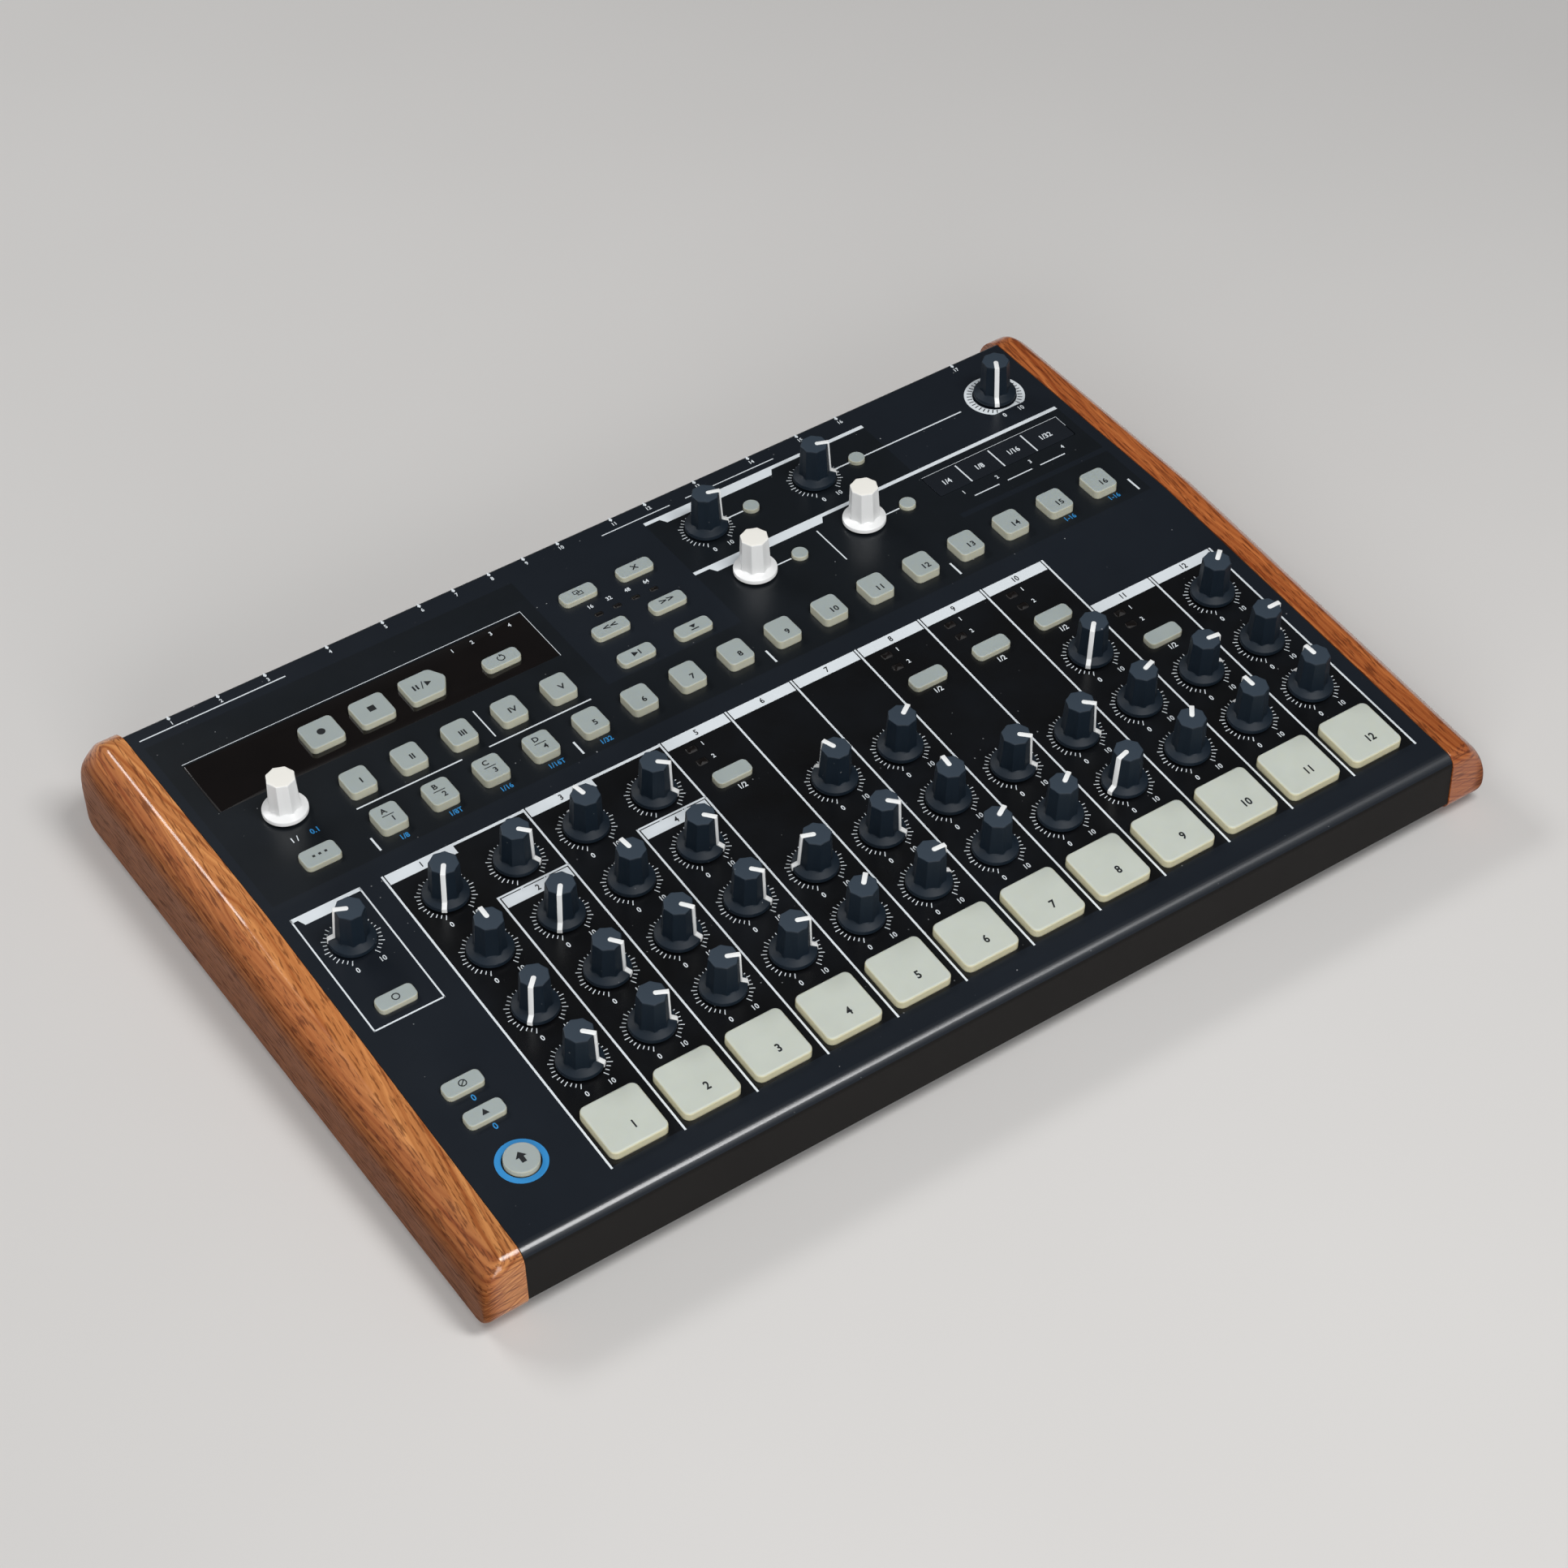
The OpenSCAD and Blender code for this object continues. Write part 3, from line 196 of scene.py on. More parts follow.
class Layout:
    """The case's planes in millimetres, worked out from the sizes in the sidebar."""

    def __init__(self):
        case = bpy.context.scene.drum_case
        controls = bpy.context.scene.drum_controls
        for group in (case, controls):
            for key in group.__annotations__:
                value = getattr(group, key)
                as_is = key in ("columns", "front_slope", "rear_slope")
                setattr(self, key, value if as_is else round(value / MM, 4))
        self.panel_w = self.left_margin + self.columns * self.col_pitch + self.right_margin
        self.line0_x = self.left_margin - self.panel_w / 2
        run = self.front_len * math.cos(self.front_slope)
        rise = self.front_len * math.sin(self.front_slope)
        rear_run = self.rear_len * math.cos(self.rear_slope)
        depth = self.cheek_proud + self.front_run + run + rear_run + self.cheek_tail
        self.front_y = self.cheek_proud + self.front_run - depth / 2
        self.front_z = self.foot_drop + self.case_h
        self.crease_y, self.crease_z = self.front_y + run, self.front_z + rise
        self.front_face_y = self.front_y - self.front_run
        self.front_top_z = self.front_z - self.front_run * math.tan(self.front_slope)
        self.rear_face_y = self.crease_y + rear_run
        self.rear_top_z = self.crease_z + self.rear_len * math.sin(self.rear_slope)
        # What follows the panel's right edge: its places are given from there
        self.right_edge = self.panel_w - self.left_margin
        self.filter_x, self.shaper_x = self.right_edge - 180.9, self.right_edge - 123.3
        self.effect_x, self.chance_x = self.right_edge - 179.5, self.right_edge - 121.8
        self.volume_x, self.strip_x = self.right_edge - 23.1, self.right_edge - 47.2

    def world(self):
        return Matrix.Scale(MM, 4)

    def panel(self, y, z, slope, place):
        """Placing matrix of a point on a sloping panel, u right of the first column line."""
        return (
            self.world() @ Matrix.Translation((self.line0_x, y, z)) @ Matrix.Rotation(slope, 4, "X")
            @ Matrix.Translation(place)
        )

    def front(self, u=0.0, v=0.0, w=0.0):
        """Placing matrix of a point on the front panel, v behind its front end."""
        return self.panel(self.front_y, self.front_z, self.front_slope, (u, v, w))

    def rear(self, u=0.0, s=0.0, w=0.0):
        """Placing matrix of a point on the rear panel, s behind the crease."""
        return self.panel(self.crease_y, self.crease_z, self.rear_slope, (u, s, w))

    def back(self, u=0.0, h=0.0):
        """Placing matrix of a point on the rear face, h above the sockets' middle line."""
        return (
            self.world() @ Matrix.Translation((self.line0_x + u, self.rear_face_y, self.socket_z + h))
            @ Matrix.Rotation(math.pi, 4, "Z") @ Matrix.Rotation(math.pi / 2, 4, "X")
        )

    def sockets(self):
        """Places across of all that the rear face carries, from the left; the power switch is the last."""
        return sorted((*JACKS, *DATA, SQUARE, INLET, LEVEL, self.right_edge - 26.4))

    def knobs(self):
        """Name, placing function, place, rest angle and whether it has a pointer, knob by knob."""
        found = [("metronome_knob", self.front, (SIDE_X, ROW_V[3]), -65, True)]
        for column, knobs in enumerate(COLUMN_KNOBS):
            u = (column + 0.5) * self.col_pitch
            for v, (name, angle) in zip(ROW_V, knobs.items()):
                found.append((name + "_knob", self.front, (u, v), angle, True))
        found += [
            ("filter_cutoff_knob", self.rear, (self.filter_x, 94.8), 108, True),
            ("filter_resonance_knob", self.rear, (self.shaper_x, 94.8), 112, True),
            ("master_volume_knob", self.rear, (self.volume_x, 95.6), -150, True),
            ("tempo_encoder_knob", self.rear, (-13.9, 47.1), 0, False),
            ("swing_encoder_knob", self.rear, (self.effect_x, 58.4), 0, False),
            ("randomness_encoder_knob", self.rear, (self.chance_x, 58.4), 0, False),
        ]
        return found


# ---- Mesh helpers -------------------------------------------------------------


def make_piece(name, bm, finishes, body, replaces=(), smooth=35, weighted=False):
    """Turns a bmesh in metres into a named piece that rides on a body."""
    mesh = bpy.data.meshes.new(name)
    bm.to_mesh(mesh)
    bm.free()
    for finish in finishes:
        mesh.materials.append(finish_of(finish))
    mesh.shade_smooth()
    mesh.set_sharp_from_angle(angle=math.radians(smooth))
    piece = bpy.data.objects.new(name, mesh)
    bpy.context.scene.collection.objects.link(piece)
    if weighted:
        modifier = piece.modifiers.new("even_faces", "WEIGHTED_NORMAL")
        modifier.keep_sharp = True
        modifier.weight = 100
    if body not in BODIES:
        raise RuntimeError(f"{name}: the frame has no body {body}")
    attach(piece, body)
    if replaces:
        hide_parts(*replaces)


def merged_copy(node):
    """The CAD node's mesh with its loose triangles joined."""
    bm = bmesh.new()
    bm.from_mesh(frame["nodes"][node].data)
    bmesh.ops.remove_doubles(bm, verts=bm.verts, dist=1e-6)
    return bm


def dress_copy(name, node, finish, body, smooth=30, weighted=True):
    """A piece with the CAD node's own shape and a finish."""
    make_piece(name, merged_copy(node), (finish,), body, (node,), smooth, weighted)


def absorb(bm, part):
    """Moves a finished part into the bmesh of its piece."""
    mesh = bpy.data.meshes.new("part")
    part.to_mesh(mesh)
    part.free()
    bm.from_mesh(mesh)
    bpy.data.meshes.remove(mesh)


def bevel(bm, geom, offset, segments, affect="EDGES", clamp=False):
    """Rounds edges, or the corners of a flat face."""
    bmesh.ops.bevel(
        bm, geom=geom, offset=offset, offset_type="OFFSET", segments=segments, profile=0.5,
        affect=affect, material=-1, clamp_overlap=clamp,
    )


def revolve(bm, points, steps):
    """Spins a line of (radius, height) points once round the Z axis."""
    line = [bm.verts.new((0, r, z)) for r, z in points]
    edges = [bm.edges.new(pair) for pair in zip(line, line[1:])]
    bmesh.ops.spin(
        bm, geom=line + edges, cent=(0, 0, 0), axis=(0, 0, 1), dvec=(0, 0, 0), angle=2 * math.pi,
        steps=steps, use_merge=True, use_duplicate=False,
    )


def cylinder(bm, matrix, r, z0, z1, segments):
    place = matrix @ Matrix.Translation((0, 0, (z0 + z1) / 2))
    return bmesh.ops.create_cone(
        bm, cap_ends=True, segments=segments, radius1=r, radius2=r, depth=z1 - z0, matrix=place
    )["verts"]


def box(bm, matrix, size, at, turn=0.0):
    """A block of size (x, y, z) centred at a place of the plane that the matrix sets."""
    place = matrix @ Matrix.Translation(at) @ Matrix.Rotation(turn, 4, "Z") @ Matrix.Diagonal((*size, 1))
    bmesh.ops.create_cube(bm, size=1, matrix=place)


def flat_bar(bm, matrix, x0, y0, x1, y1):
    """A printed bar from one corner to the other."""
    box(bm, matrix, (x1 - x0, y1 - y0, INK), ((x0 + x1) / 2, (y0 + y1) / 2, INK / 2))


def outline_prism(bm, matrix, points, z0, z1):
    """A prism over a closed outline, its sides upright."""
    verts = [bm.verts.new((x, y, z0)) for x, y in points]
    sides = bmesh.ops.extrude_face_region(bm, geom=[bm.faces.new(verts)])["geom"]
    top = [g for g in sides if isinstance(g, bmesh.types.BMVert)]
    bmesh.ops.translate(bm, vec=(0, 0, z1 - z0), verts=top)
    verts += top
    bmesh.ops.recalc_face_normals(bm, faces=list({f for v in verts for f in v.link_faces}))
    bmesh.ops.transform(bm, matrix=matrix, verts=verts)


def rounded_block(bm, matrix, points, corner, z0, z1, edge, steps=4, edge_steps=3):
    """A key or pad: an outline with rounded corners, risen from z0 to z1, its top edge rounded."""
    part = bmesh.new()
    outline_prism(part, Matrix(), points, z0, z1)
    upright = [e for e in part.edges if abs(e.verts[0].co.z - e.verts[1].co.z) > (z1 - z0) / 2]
    bevel(part, upright, corner, steps)
    bevel(part, [e for e in part.edges if min(v.co.z for v in e.verts) > z1 - 1e-5], edge, edge_steps)
    bmesh.ops.transform(part, matrix=matrix, verts=part.verts)
    absorb(bm, part)


def oblong(w, d):
    return [(-w / 2, -d / 2), (w / 2, -d / 2), (w / 2, d / 2), (-w / 2, d / 2)]


def ring_print(bm, matrix, r_in, r_out, a0=0, a1=360, steps=64, flat_y=None):
    """A printed ring or arc between two angles, clockwise from the rear; flat_y cuts its front off."""
    count = max(3, int(steps * (a1 - a0) / 360))
    whole = a1 - a0 >= 359.9
    rows = []
    for i in range(count if whole else count + 1):
        angle = math.radians(a0 + (a1 - a0) * i / count)
        row = [(r * math.sin(angle), r * math.cos(angle)) for r in (r_in, r_out)]
        if flat_y is not None:
            row[1] = (row[1][0], max(row[1][1], flat_y))
        rows.append(row)
    for (a, b), (c, d) in zip(rows, rows[1:] + (rows[:1] if whole else [])):
        outline_prism(bm, matrix, (a, b, d, c), 0, INK)


TEXT_STORE = {}


def text_mesh(body, height, narrow, bold):
    """Lettering as a thin solid mesh, its capitals height tall, centred on its origin."""
    key = (body, height, narrow, bold)
    if key not in TEXT_STORE:
        curve = bpy.data.curves.new("lettering", "FONT")
        curve.body = body
        curve.size = height / CAPITALS
        curve.align_x, curve.align_y = "CENTER", "CENTER"
        curve.extrude = INK / 2
        curve.offset = bold * height
        curve.resolution_u = 3
        shown = bpy.data.objects.new("lettering", curve)
        bpy.context.scene.collection.objects.link(shown)
        bpy.context.view_layer.update()
        mesh = bpy.data.meshes.new_from_object(shown)
        mesh.transform(Matrix.Translation((0, 0, INK / 2)) @ Matrix.Diagonal((narrow, 1, 1, 1)))
        bpy.data.objects.remove(shown)
        bpy.data.curves.remove(curve)
        bm = bmesh.new()
        bm.from_mesh(mesh)
        bmesh.ops.remove_doubles(bm, verts=bm.verts, dist=0.002)
        bmesh.ops.dissolve_degenerate(bm, dist=0.002, edges=bm.edges)
        bmesh.ops.recalc_face_normals(bm, faces=bm.faces)
        bm.to_mesh(mesh)
        bm.free()
        TEXT_STORE[key] = mesh
    return TEXT_STORE[key]


def print_text(bm, matrix, body, height, at=(0, 0), narrow=0.86, bold=0.03):
    """Adds lettering to a print."""
    mesh = text_mesh(body, height, narrow, bold).copy()
    mesh.transform(matrix @ Matrix.Translation((at[0], at[1], 0)))
    bm.from_mesh(mesh)
    bpy.data.meshes.remove(mesh)


# Plain signs on the keys, made of bars by two corners, outlines, discs by radius, rings by radii and
# angles, and slanting bars by width, depth, place and angle. SHEET is one of the two sheets of "copy".
SHEET = ((-1.2, -1, 1.2, -0.7), (-1.2, 0.7, 1.2, 1), (-1.2, -0.7, -0.9, 0.7), (0.9, -0.7, 1.2, 0.7))
SIGNS = {
    "dot": [("disc", 1.6)],
    "square": [("bar", -1.4, -1.4, 1.4, 1.4)],
    "play": [
        ("bar", -3.6, -1.3, -2.9, 1.3), ("bar", -2.2, -1.3, -1.5, 1.3), ("slant", 0.35, 4, 0.2, -20),
        ("outline", (1.6, -1.4), (4, 0), (1.6, 1.4)),
    ],
    "down": [("outline", (-1.3, 1), (0, -0.8), (1.3, 1)), ("bar", -1.6, -1.7, 1.6, -1.2)],
    "up": [("outline", (-1.9, 0.1), (1.9, 0.1), (0, 2.3)), ("bar", -0.8, -2, 0.8, 0.1)],
    "last": [("outline", (-1.6, -1.3), (0.8, 0), (-1.6, 1.3)), ("bar", 1.2, -1.3, 1.7, 1.3)],
    "cross": [("slant", 3.4, 0.5, 0, 45), ("slant", 3.4, 0.5, 0, -45)],
    "copy": [
        ("bar", x + x0, y + y0, x + x1, y + y1)
        for x, y in ((-0.6, 0.5), (0.6, -0.5)) for x0, y0, x1, y1 in SHEET
    ],
    "slash": [("ring", 1.2, 1.6, 0, 360), ("slant", 3.2, 0.4, 0, 45)],
    "ring": [("ring", 1.15, 1.6, 0, 360)],
    "sync": [("ring", 1.2, 1.6, 30, 330), ("outline", (-0.1, 2.1), (-0.1, 0.7), (1.1, 1.4))],
    "solo": [("outline", (-1.4, -1.2), (1.4, -1.2), (0, 1.4))],
    "taps": [("bar", x - 0.5, -0.5, x + 0.5, 0.5) for x in (-2.4, 0, 2.4)],
}


def sign(bm, matrix, kind, size=1.0):
    """A plain sign on a key."""
    place = matrix @ Matrix.Scale(size, 4)
    for form, *values in SIGNS[kind]:
        if form == "bar":
            flat_bar(bm, place, *values)
        elif form == "outline":
            outline_prism(bm, place, values, 0, INK)
        elif form == "ring":
            ring_print(bm, place, *values, 24)
        elif form == "slant":
            w, d, x, degrees = values
            box(bm, place, (w, d, INK), (x, 0, INK / 2), math.radians(degrees))
        else:
            cylinder(bm, place, *values, 0, INK, 24)


# ---- Node helpers -------------------------------------------------------------


class Graph:
    """Short calls that add and join nodes in one tree."""

    def __init__(self, tree):
        self.tree = tree

    def feed(self, socket, value):
        if isinstance(value, bpy.types.NodeSocket):
            self.tree.links.new(value, socket)
        else:
            socket.default_value = value

    def set(self, node, values):
        for name, value in values.items():
            self.feed(node.inputs[name], value)

    def add(self, kind, values=None, **settings):
        node = self.tree.nodes.new(kind)
        for name, value in settings.items():
            setattr(node, name, value)
        self.set(node, values or {})
        return node

    def group(self, name, values):
        return self.add("ShaderNodeGroup", values, node_tree=bpy.data.node_groups[name])

    def math(self, operation, a, b=0.0):
        return self.add("ShaderNodeMath", {0: a, 1: b}, operation=operation).outputs[0]

    def fold(self, operation, first, *rest):
        for value in rest:
            first = self.math(operation, first, value)
        return first

    def mix(self, factor, a, b, blend="MIX"):
        values = {0: factor, 6: a, 7: b}
        return self.add("ShaderNodeMix", values, data_type="RGBA", blend_type=blend).outputs[2]

    def ramp(self, value, low, high, out_low=0.0, out_high=1.0):
        values = {"Value": value, "From Min": low, "From Max": high, "To Min": out_low, "To Max": out_high}
        return self.add("ShaderNodeMapRange", values).outputs[0]

    def noise(self, vector, scale, detail=2.0, roughness=0.5):
        values = {"Vector": vector, "Scale": scale, "Detail": detail, "Roughness": roughness}
        return self.add("ShaderNodeTexNoise", values).outputs["Fac"]

    def place(self, scale=(1, 1, 1), turn=(0, 0, 0), vector=None):
        if vector is None:
            vector = self.add("ShaderNodeTexCoord").outputs["Object"]
        return self.add("ShaderNodeMapping", {"Vector": vector, "Scale": scale, "Rotation": turn}).outputs[0]

    def part(self, vector, axis):
        return self.add("ShaderNodeSeparateXYZ", {"Vector": vector}).outputs[axis]

    def at(self, axis):
        """Place along an axis, in metres."""
        return self.part(self.place(), axis)

    def facing(self, axis):
        """How far a face looks along an axis, from -1 to 1."""
        return self.part(self.add("ShaderNodeNewGeometry").outputs["Normal"], axis)

    def bump(self, node, height, strength, distance):
        values = {"Height": height, "Strength": strength, "Distance": distance}
        self.feed(node.inputs["Normal"], self.add("ShaderNodeBump", values).outputs[0])


def rgba(value, factor=1.0):
    return (*(c * factor for c in value), 1.0)


def new_group(name, inputs, outputs):
    """A node group whose inputs are numbers; returns its graph and its two end nodes."""
    tree = bpy.data.node_groups.new(name, "ShaderNodeTree")
    for socket, default in inputs.items():
        made = tree.interface.new_socket(socket, in_out="INPUT", socket_type="NodeSocketFloat")
        made.default_value = default
    for socket in outputs:
        kind = "NodeSocketVector" if socket == "Normal" else "NodeSocketFloat"
        tree.interface.new_socket(socket, in_out="OUTPUT", socket_type=kind)
    graph = Graph(tree)
    return graph, graph.add("NodeGroupInput"), graph.add("NodeGroupOutput")


def build_groups():
    """Shared effects: region mask, coat texture, dust and wood grain."""
    limits = {"X Low": -1.0, "X High": 1.0, "Y Low": -1.0, "Y High": 1.0}
    graph, start, end = new_group("region", limits, ("Mask",))
    tests = []
    for axis, letter in enumerate("XY"):
        at = graph.at(axis)
        tests.append(graph.math("GREATER_THAN", at, start.outputs[letter + " Low"]))
        tests.append(graph.math("LESS_THAN", at, start.outputs[letter + " High"]))
    graph.set(end, {"Mask": graph.fold("MULTIPLY", *tests)})

    values = {"Grain": 2500.0, "Height": 0.2, "Unevenness": 0.1}
    graph, start, end = new_group("coat_texture", values, ("Normal", "Value"))
    grain = graph.noise(graph.place(), start.outputs["Grain"], 2.0, 0.6)
    graph.bump(end, grain, start.outputs["Height"], 0.00003)
    cloud = graph.math("SUBTRACT", graph.noise(graph.place(), 18.0, 3.0, 0.6), 0.5)
    graph.set(end, {"Value": graph.math("MULTIPLY", cloud, start.outputs["Unevenness"])})

    graph, start, end = new_group("dust", {"Amount": 0.5, "Scale": 420.0}, ("Mask",))
    cells = graph.add("ShaderNodeTexVoronoi", {"Vector": graph.place(), "Scale": start.outputs["Scale"]})
    chance = graph.add("ShaderNodeSeparateColor", {"Color": cells.outputs["Color"]}).outputs
    speck = graph.math("LESS_THAN", cells.outputs["Distance"], graph.math("MULTIPLY", chance[1], 0.16))
    rare = graph.math("GREATER_THAN", chance[0], 0.9)
    patches = graph.ramp(graph.noise(graph.place(), 30.0, 3.0), 0.42, 0.65)
    graph.set(end, {"Mask": graph.fold("MULTIPLY", speck, rare, patches, start.outputs["Amount"])})

    graph, start, end = new_group("wood_grain", {"Bands": 330.0}, ("Bands", "Pores", "Cloud"))
    wander = graph.noise(graph.place((12, 3.5, 12)), 1.0)
    ripple = graph.noise(graph.place((110, 15, 110)), 1.0)
    across = graph.math("ABSOLUTE", graph.at(0))
    sources = ((across, 0.45), (graph.at(1), -0.05), (wander, 0.012), (ripple, 0.0022))
    depth = graph.fold("ADD", graph.at(2), *(graph.math("MULTIPLY", *source) for source in sources))
    along = graph.math("MULTIPLY", depth, start.outputs["Bands"])
    line = graph.noise(graph.add("ShaderNodeCombineXYZ", {"X": along}).outputs[0], 1.0, 2.0, 0.7)
    slant = graph.place(turn=(0, 0, 0.07))
    pores = graph.noise(graph.place((1150, 70, 1150), vector=slant), 1.0, 3.0, 0.55)
    end_pores = graph.noise(graph.place((70, 500, 1150)), 1.0, 3.0, 0.55)
    ends = graph.ramp(graph.math("ABSOLUTE", graph.facing(1)), 0.6, 0.8)
    pores = graph.math("ADD", pores, graph.math("MULTIPLY", ends, graph.math("SUBTRACT", end_pores, pores)))
    cloud = graph.noise(graph.place((24, 9, 24)), 1.0)
    graph.set(end, {"Bands": line, "Pores": graph.ramp(pores, 0.52, 0.62), "Cloud": cloud})


# ---- Finishes -----------------------------------------------------------------

# What each plain finish is made of: the sidebar's colour or a screen colour, roughness, scale,
# strength and unevenness of its grain, and further settings
PLAIN = {
    # knob_plastic's up tone is painted light: its level faces are painted lighter than its steep sides, as
    # the top light shows them
    "knob_plastic": ("knob", 0.52, 2600.0, 0.12, 0.1, {"dust": 0.5, "up": "333e49", "specular": 0.28}),
    "pointer_plastic": ("pointer", 0.42, 2600.0, 0.05, 0.08, {"tint": 0.03}),
    "encoder_plastic": ("encoder", 0.26, 1200.0, 0.02, 0.05, {"tint": 0.02}),
    "encoder_top": ("f7f4ec", 0.3, 1200.0, 0.02, 0.05, {"tint": 0.02}),
    "steel": ("9a9ea0", 0.3, 1500.0, 0.05, 0.1, {"metallic": 1.0}),
    "dark_steel": ("5a5d60", 0.36, 1500.0, 0.06, 0.1, {"metallic": 1.0}),
    "cover_paint": ("17191c", 0.5, 1600.0, 0.3, 0.1, {}),
    "rubber": ("202020", 0.75, 1300.0, 0.25, 0.1, {}),
    "socket_plastic": ("1d1f21", 0.42, 1500.0, 0.1, 0.1, {}),
    "window_plastic": ("100c0b", 0.12, 500.0, 0.004, 0.03, {"tint": 0.3, "side_roughness": 0.6}),
    "strip_plastic": ("1a1e24", 0.22, 900.0, 0.02, 0.05, {}),
    "white_ink": ("white_ink", 0.5, 2500.0, 0.05, 0.08, {"tint": 0.04}),
    "blue_ink": ("blue_ink", 0.5, 2500.0, 0.05, 0.08, {"tint": 0.05}),
    "black_ink": ("black_ink", 0.5, 2500.0, 0.05, 0.08, {"tint": 0.05}),
    "rocker_plastic": ("141414", 0.28, 900.0, 0.04, 0.06, {}),
    "component": ("4f5a5a", 0.5, 1200.0, 0.1, 0.1, {}),
}
# Dark printed fields in millimetres: left, right, front and rear edge
COLUMN_FIELDS = ((0, 330, 0.8, 172), (329.9, 396, 0.8, 138))
REAR_FIELDS = (
    (-44, 134, 3, 113.8), (133.9, 398.3, 3, 35), (201.7, 318.9, 34.9, 112), (318.8, 398.3, 38, 72.4),
)
# Left and right edge of a field that is wider than the panel
WHOLE_WIDTH = (-60, 460)
# Upward share of the normal between which a face turns from steep to level
LEVEL_FACES = (0.9, 0.99)


def finish_of(name):
    return bpy.data.materials[name + "_finish"]


def new_material(name, roughness=0.5, metallic=0.0):
    """A finish; returns its graph and its Principled shader."""
    material = bpy.data.materials.new(name + "_finish")
    material.use_nodes = True
    graph = Graph(material.node_tree)
    shader = material.node_tree.nodes["Principled BSDF"]
    graph.set(shader, {"Roughness": roughness, "Metallic": metallic})
    return graph, shader


def coat(graph, shader, grain, height, uneven, roughness):
    """Gives a finish its fine grain; returns its uneven roughness."""
    texture = graph.group("coat_texture", {"Grain": grain, "Height": height, "Unevenness": uneven})
    graph.set(shader, {"Normal": texture.outputs["Normal"]})
    return graph.math("ADD", texture.outputs["Value"], roughness)


def dusted(graph, shade, amount, tone):
    return graph.mix(graph.group("dust", {"Amount": amount}).outputs["Mask"], shade, rgba(tone))


def grained(
    name, base, roughness, grain, height, uneven, metallic=0.0, tint=0.16, dust=0.0, up=None, specular=None,
    side_roughness=None,
):
    """A plain finish with slightly uneven colour; up is a painted-light tone that makes level faces lighter
    than steep ones, as the top light shows them.
    """
    graph, shader = new_material(name, roughness, metallic)
    shine = coat(graph, shader, grain, height, uneven, roughness)
    if side_roughness:
        shine = graph.ramp(graph.facing(2), *LEVEL_FACES, side_roughness, roughness)
    cloud = graph.noise(graph.place(), 60.0, 3.0)
    shade = graph.mix(cloud, rgba(base, 1 - tint), rgba(base, 1 + tint))
    # Painted light: level faces take the up tone, lighter than the steep faces
    if up:
        shade = graph.mix(graph.ramp(graph.facing(2), *LEVEL_FACES), shade, rgba(linear(up)))
    if dust:
        shade = dusted(graph, shade, dust, (0.45, 0.46, 0.47))
    graph.set(shader, {"Base Color": shade, "Roughness": shine})
    if specular:
        graph.set(shader, {"Specular IOR Level": specular})


def case_paint(colours, lay):
    """Powder coat with its dark printed fields, a glossy front bend, and a duller front face painted nearly
    black as painted shade.
    """
    graph, shader = new_material("case_paint")

    def region(u0, u1, y0, y1):
        limits = {"X Low": lay.line0_x + u0, "X High": lay.line0_x + u1, "Y Low": y0, "Y High": y1}
        return graph.group("region", {name: value * MM for name, value in limits.items()}).outputs["Mask"]

    def fields(edges, y, slope):
        run = math.cos(slope)
        masks = [region(u0, u1, y + v0 * run, y + v1 * run) for u0, u1, v0, v1 in edges]
        return graph.fold("MAXIMUM", *masks)

    columns = fields(COLUMN_FIELDS, lay.front_y, lay.front_slope)
    rear = fields(REAR_FIELDS, lay.crease_y, lay.rear_slope)
    shade = graph.mix(rear, rgba(colours.metal), rgba(colours.field))
    shade = graph.mix(columns, shade, rgba(colours.columns))
    cloud = graph.ramp(graph.noise(graph.place(), 22.0, 4.0, 0.6), 0.35, 0.7, 0.0, 0.22)
    shade = graph.mix(cloud, shade, rgba(colours.metal, 1.7))
    shade = dusted(graph, shade, 0.75, (0.4, 0.41, 0.42))
    # Painted shade: the front face is painted nearly black, darker than the same powder coat on top; the same
    # mask also makes it rougher
    face = region(*WHOLE_WIDTH, -170, lay.front_face_y + 0.4)
    shade = graph.mix(face, shade, (0.004, 0.003, 0.0025, 1))
    gloss = coat(graph, shader, 1900.0, 0.32, 0.12, 0.31)
    gloss = graph.math("SUBTRACT", gloss, graph.math("MULTIPLY", columns, 0.03))
    gloss = graph.math("ADD", gloss, graph.math("MULTIPLY", face, 0.25))
    bend = region(*WHOLE_WIDTH, lay.front_face_y + 0.2, lay.front_y)
    rising = graph.ramp(graph.at(1), (lay.front_face_y + 0.4) * MM, (lay.front_face_y + 2.2) * MM)
    fading = graph.ramp(graph.at(1), (lay.front_face_y + 3.8) * MM, (lay.front_face_y + 6) * MM, 1.0, 0.0)
    graph.set(shader, {
        "Base Color": shade, "Roughness": gloss, "Specular IOR Level": 0.38,
        "Coat Weight": graph.fold("MULTIPLY", rising, fading, bend), "Coat Roughness": 0.34, "Coat IOR": 1.75,
    })
    matte = finish_of("case_paint").copy()
    matte.name = "case_face_finish"
    matte.node_tree.nodes["Principled BSDF"].inputs["Specular IOR Level"].default_value = 0.2


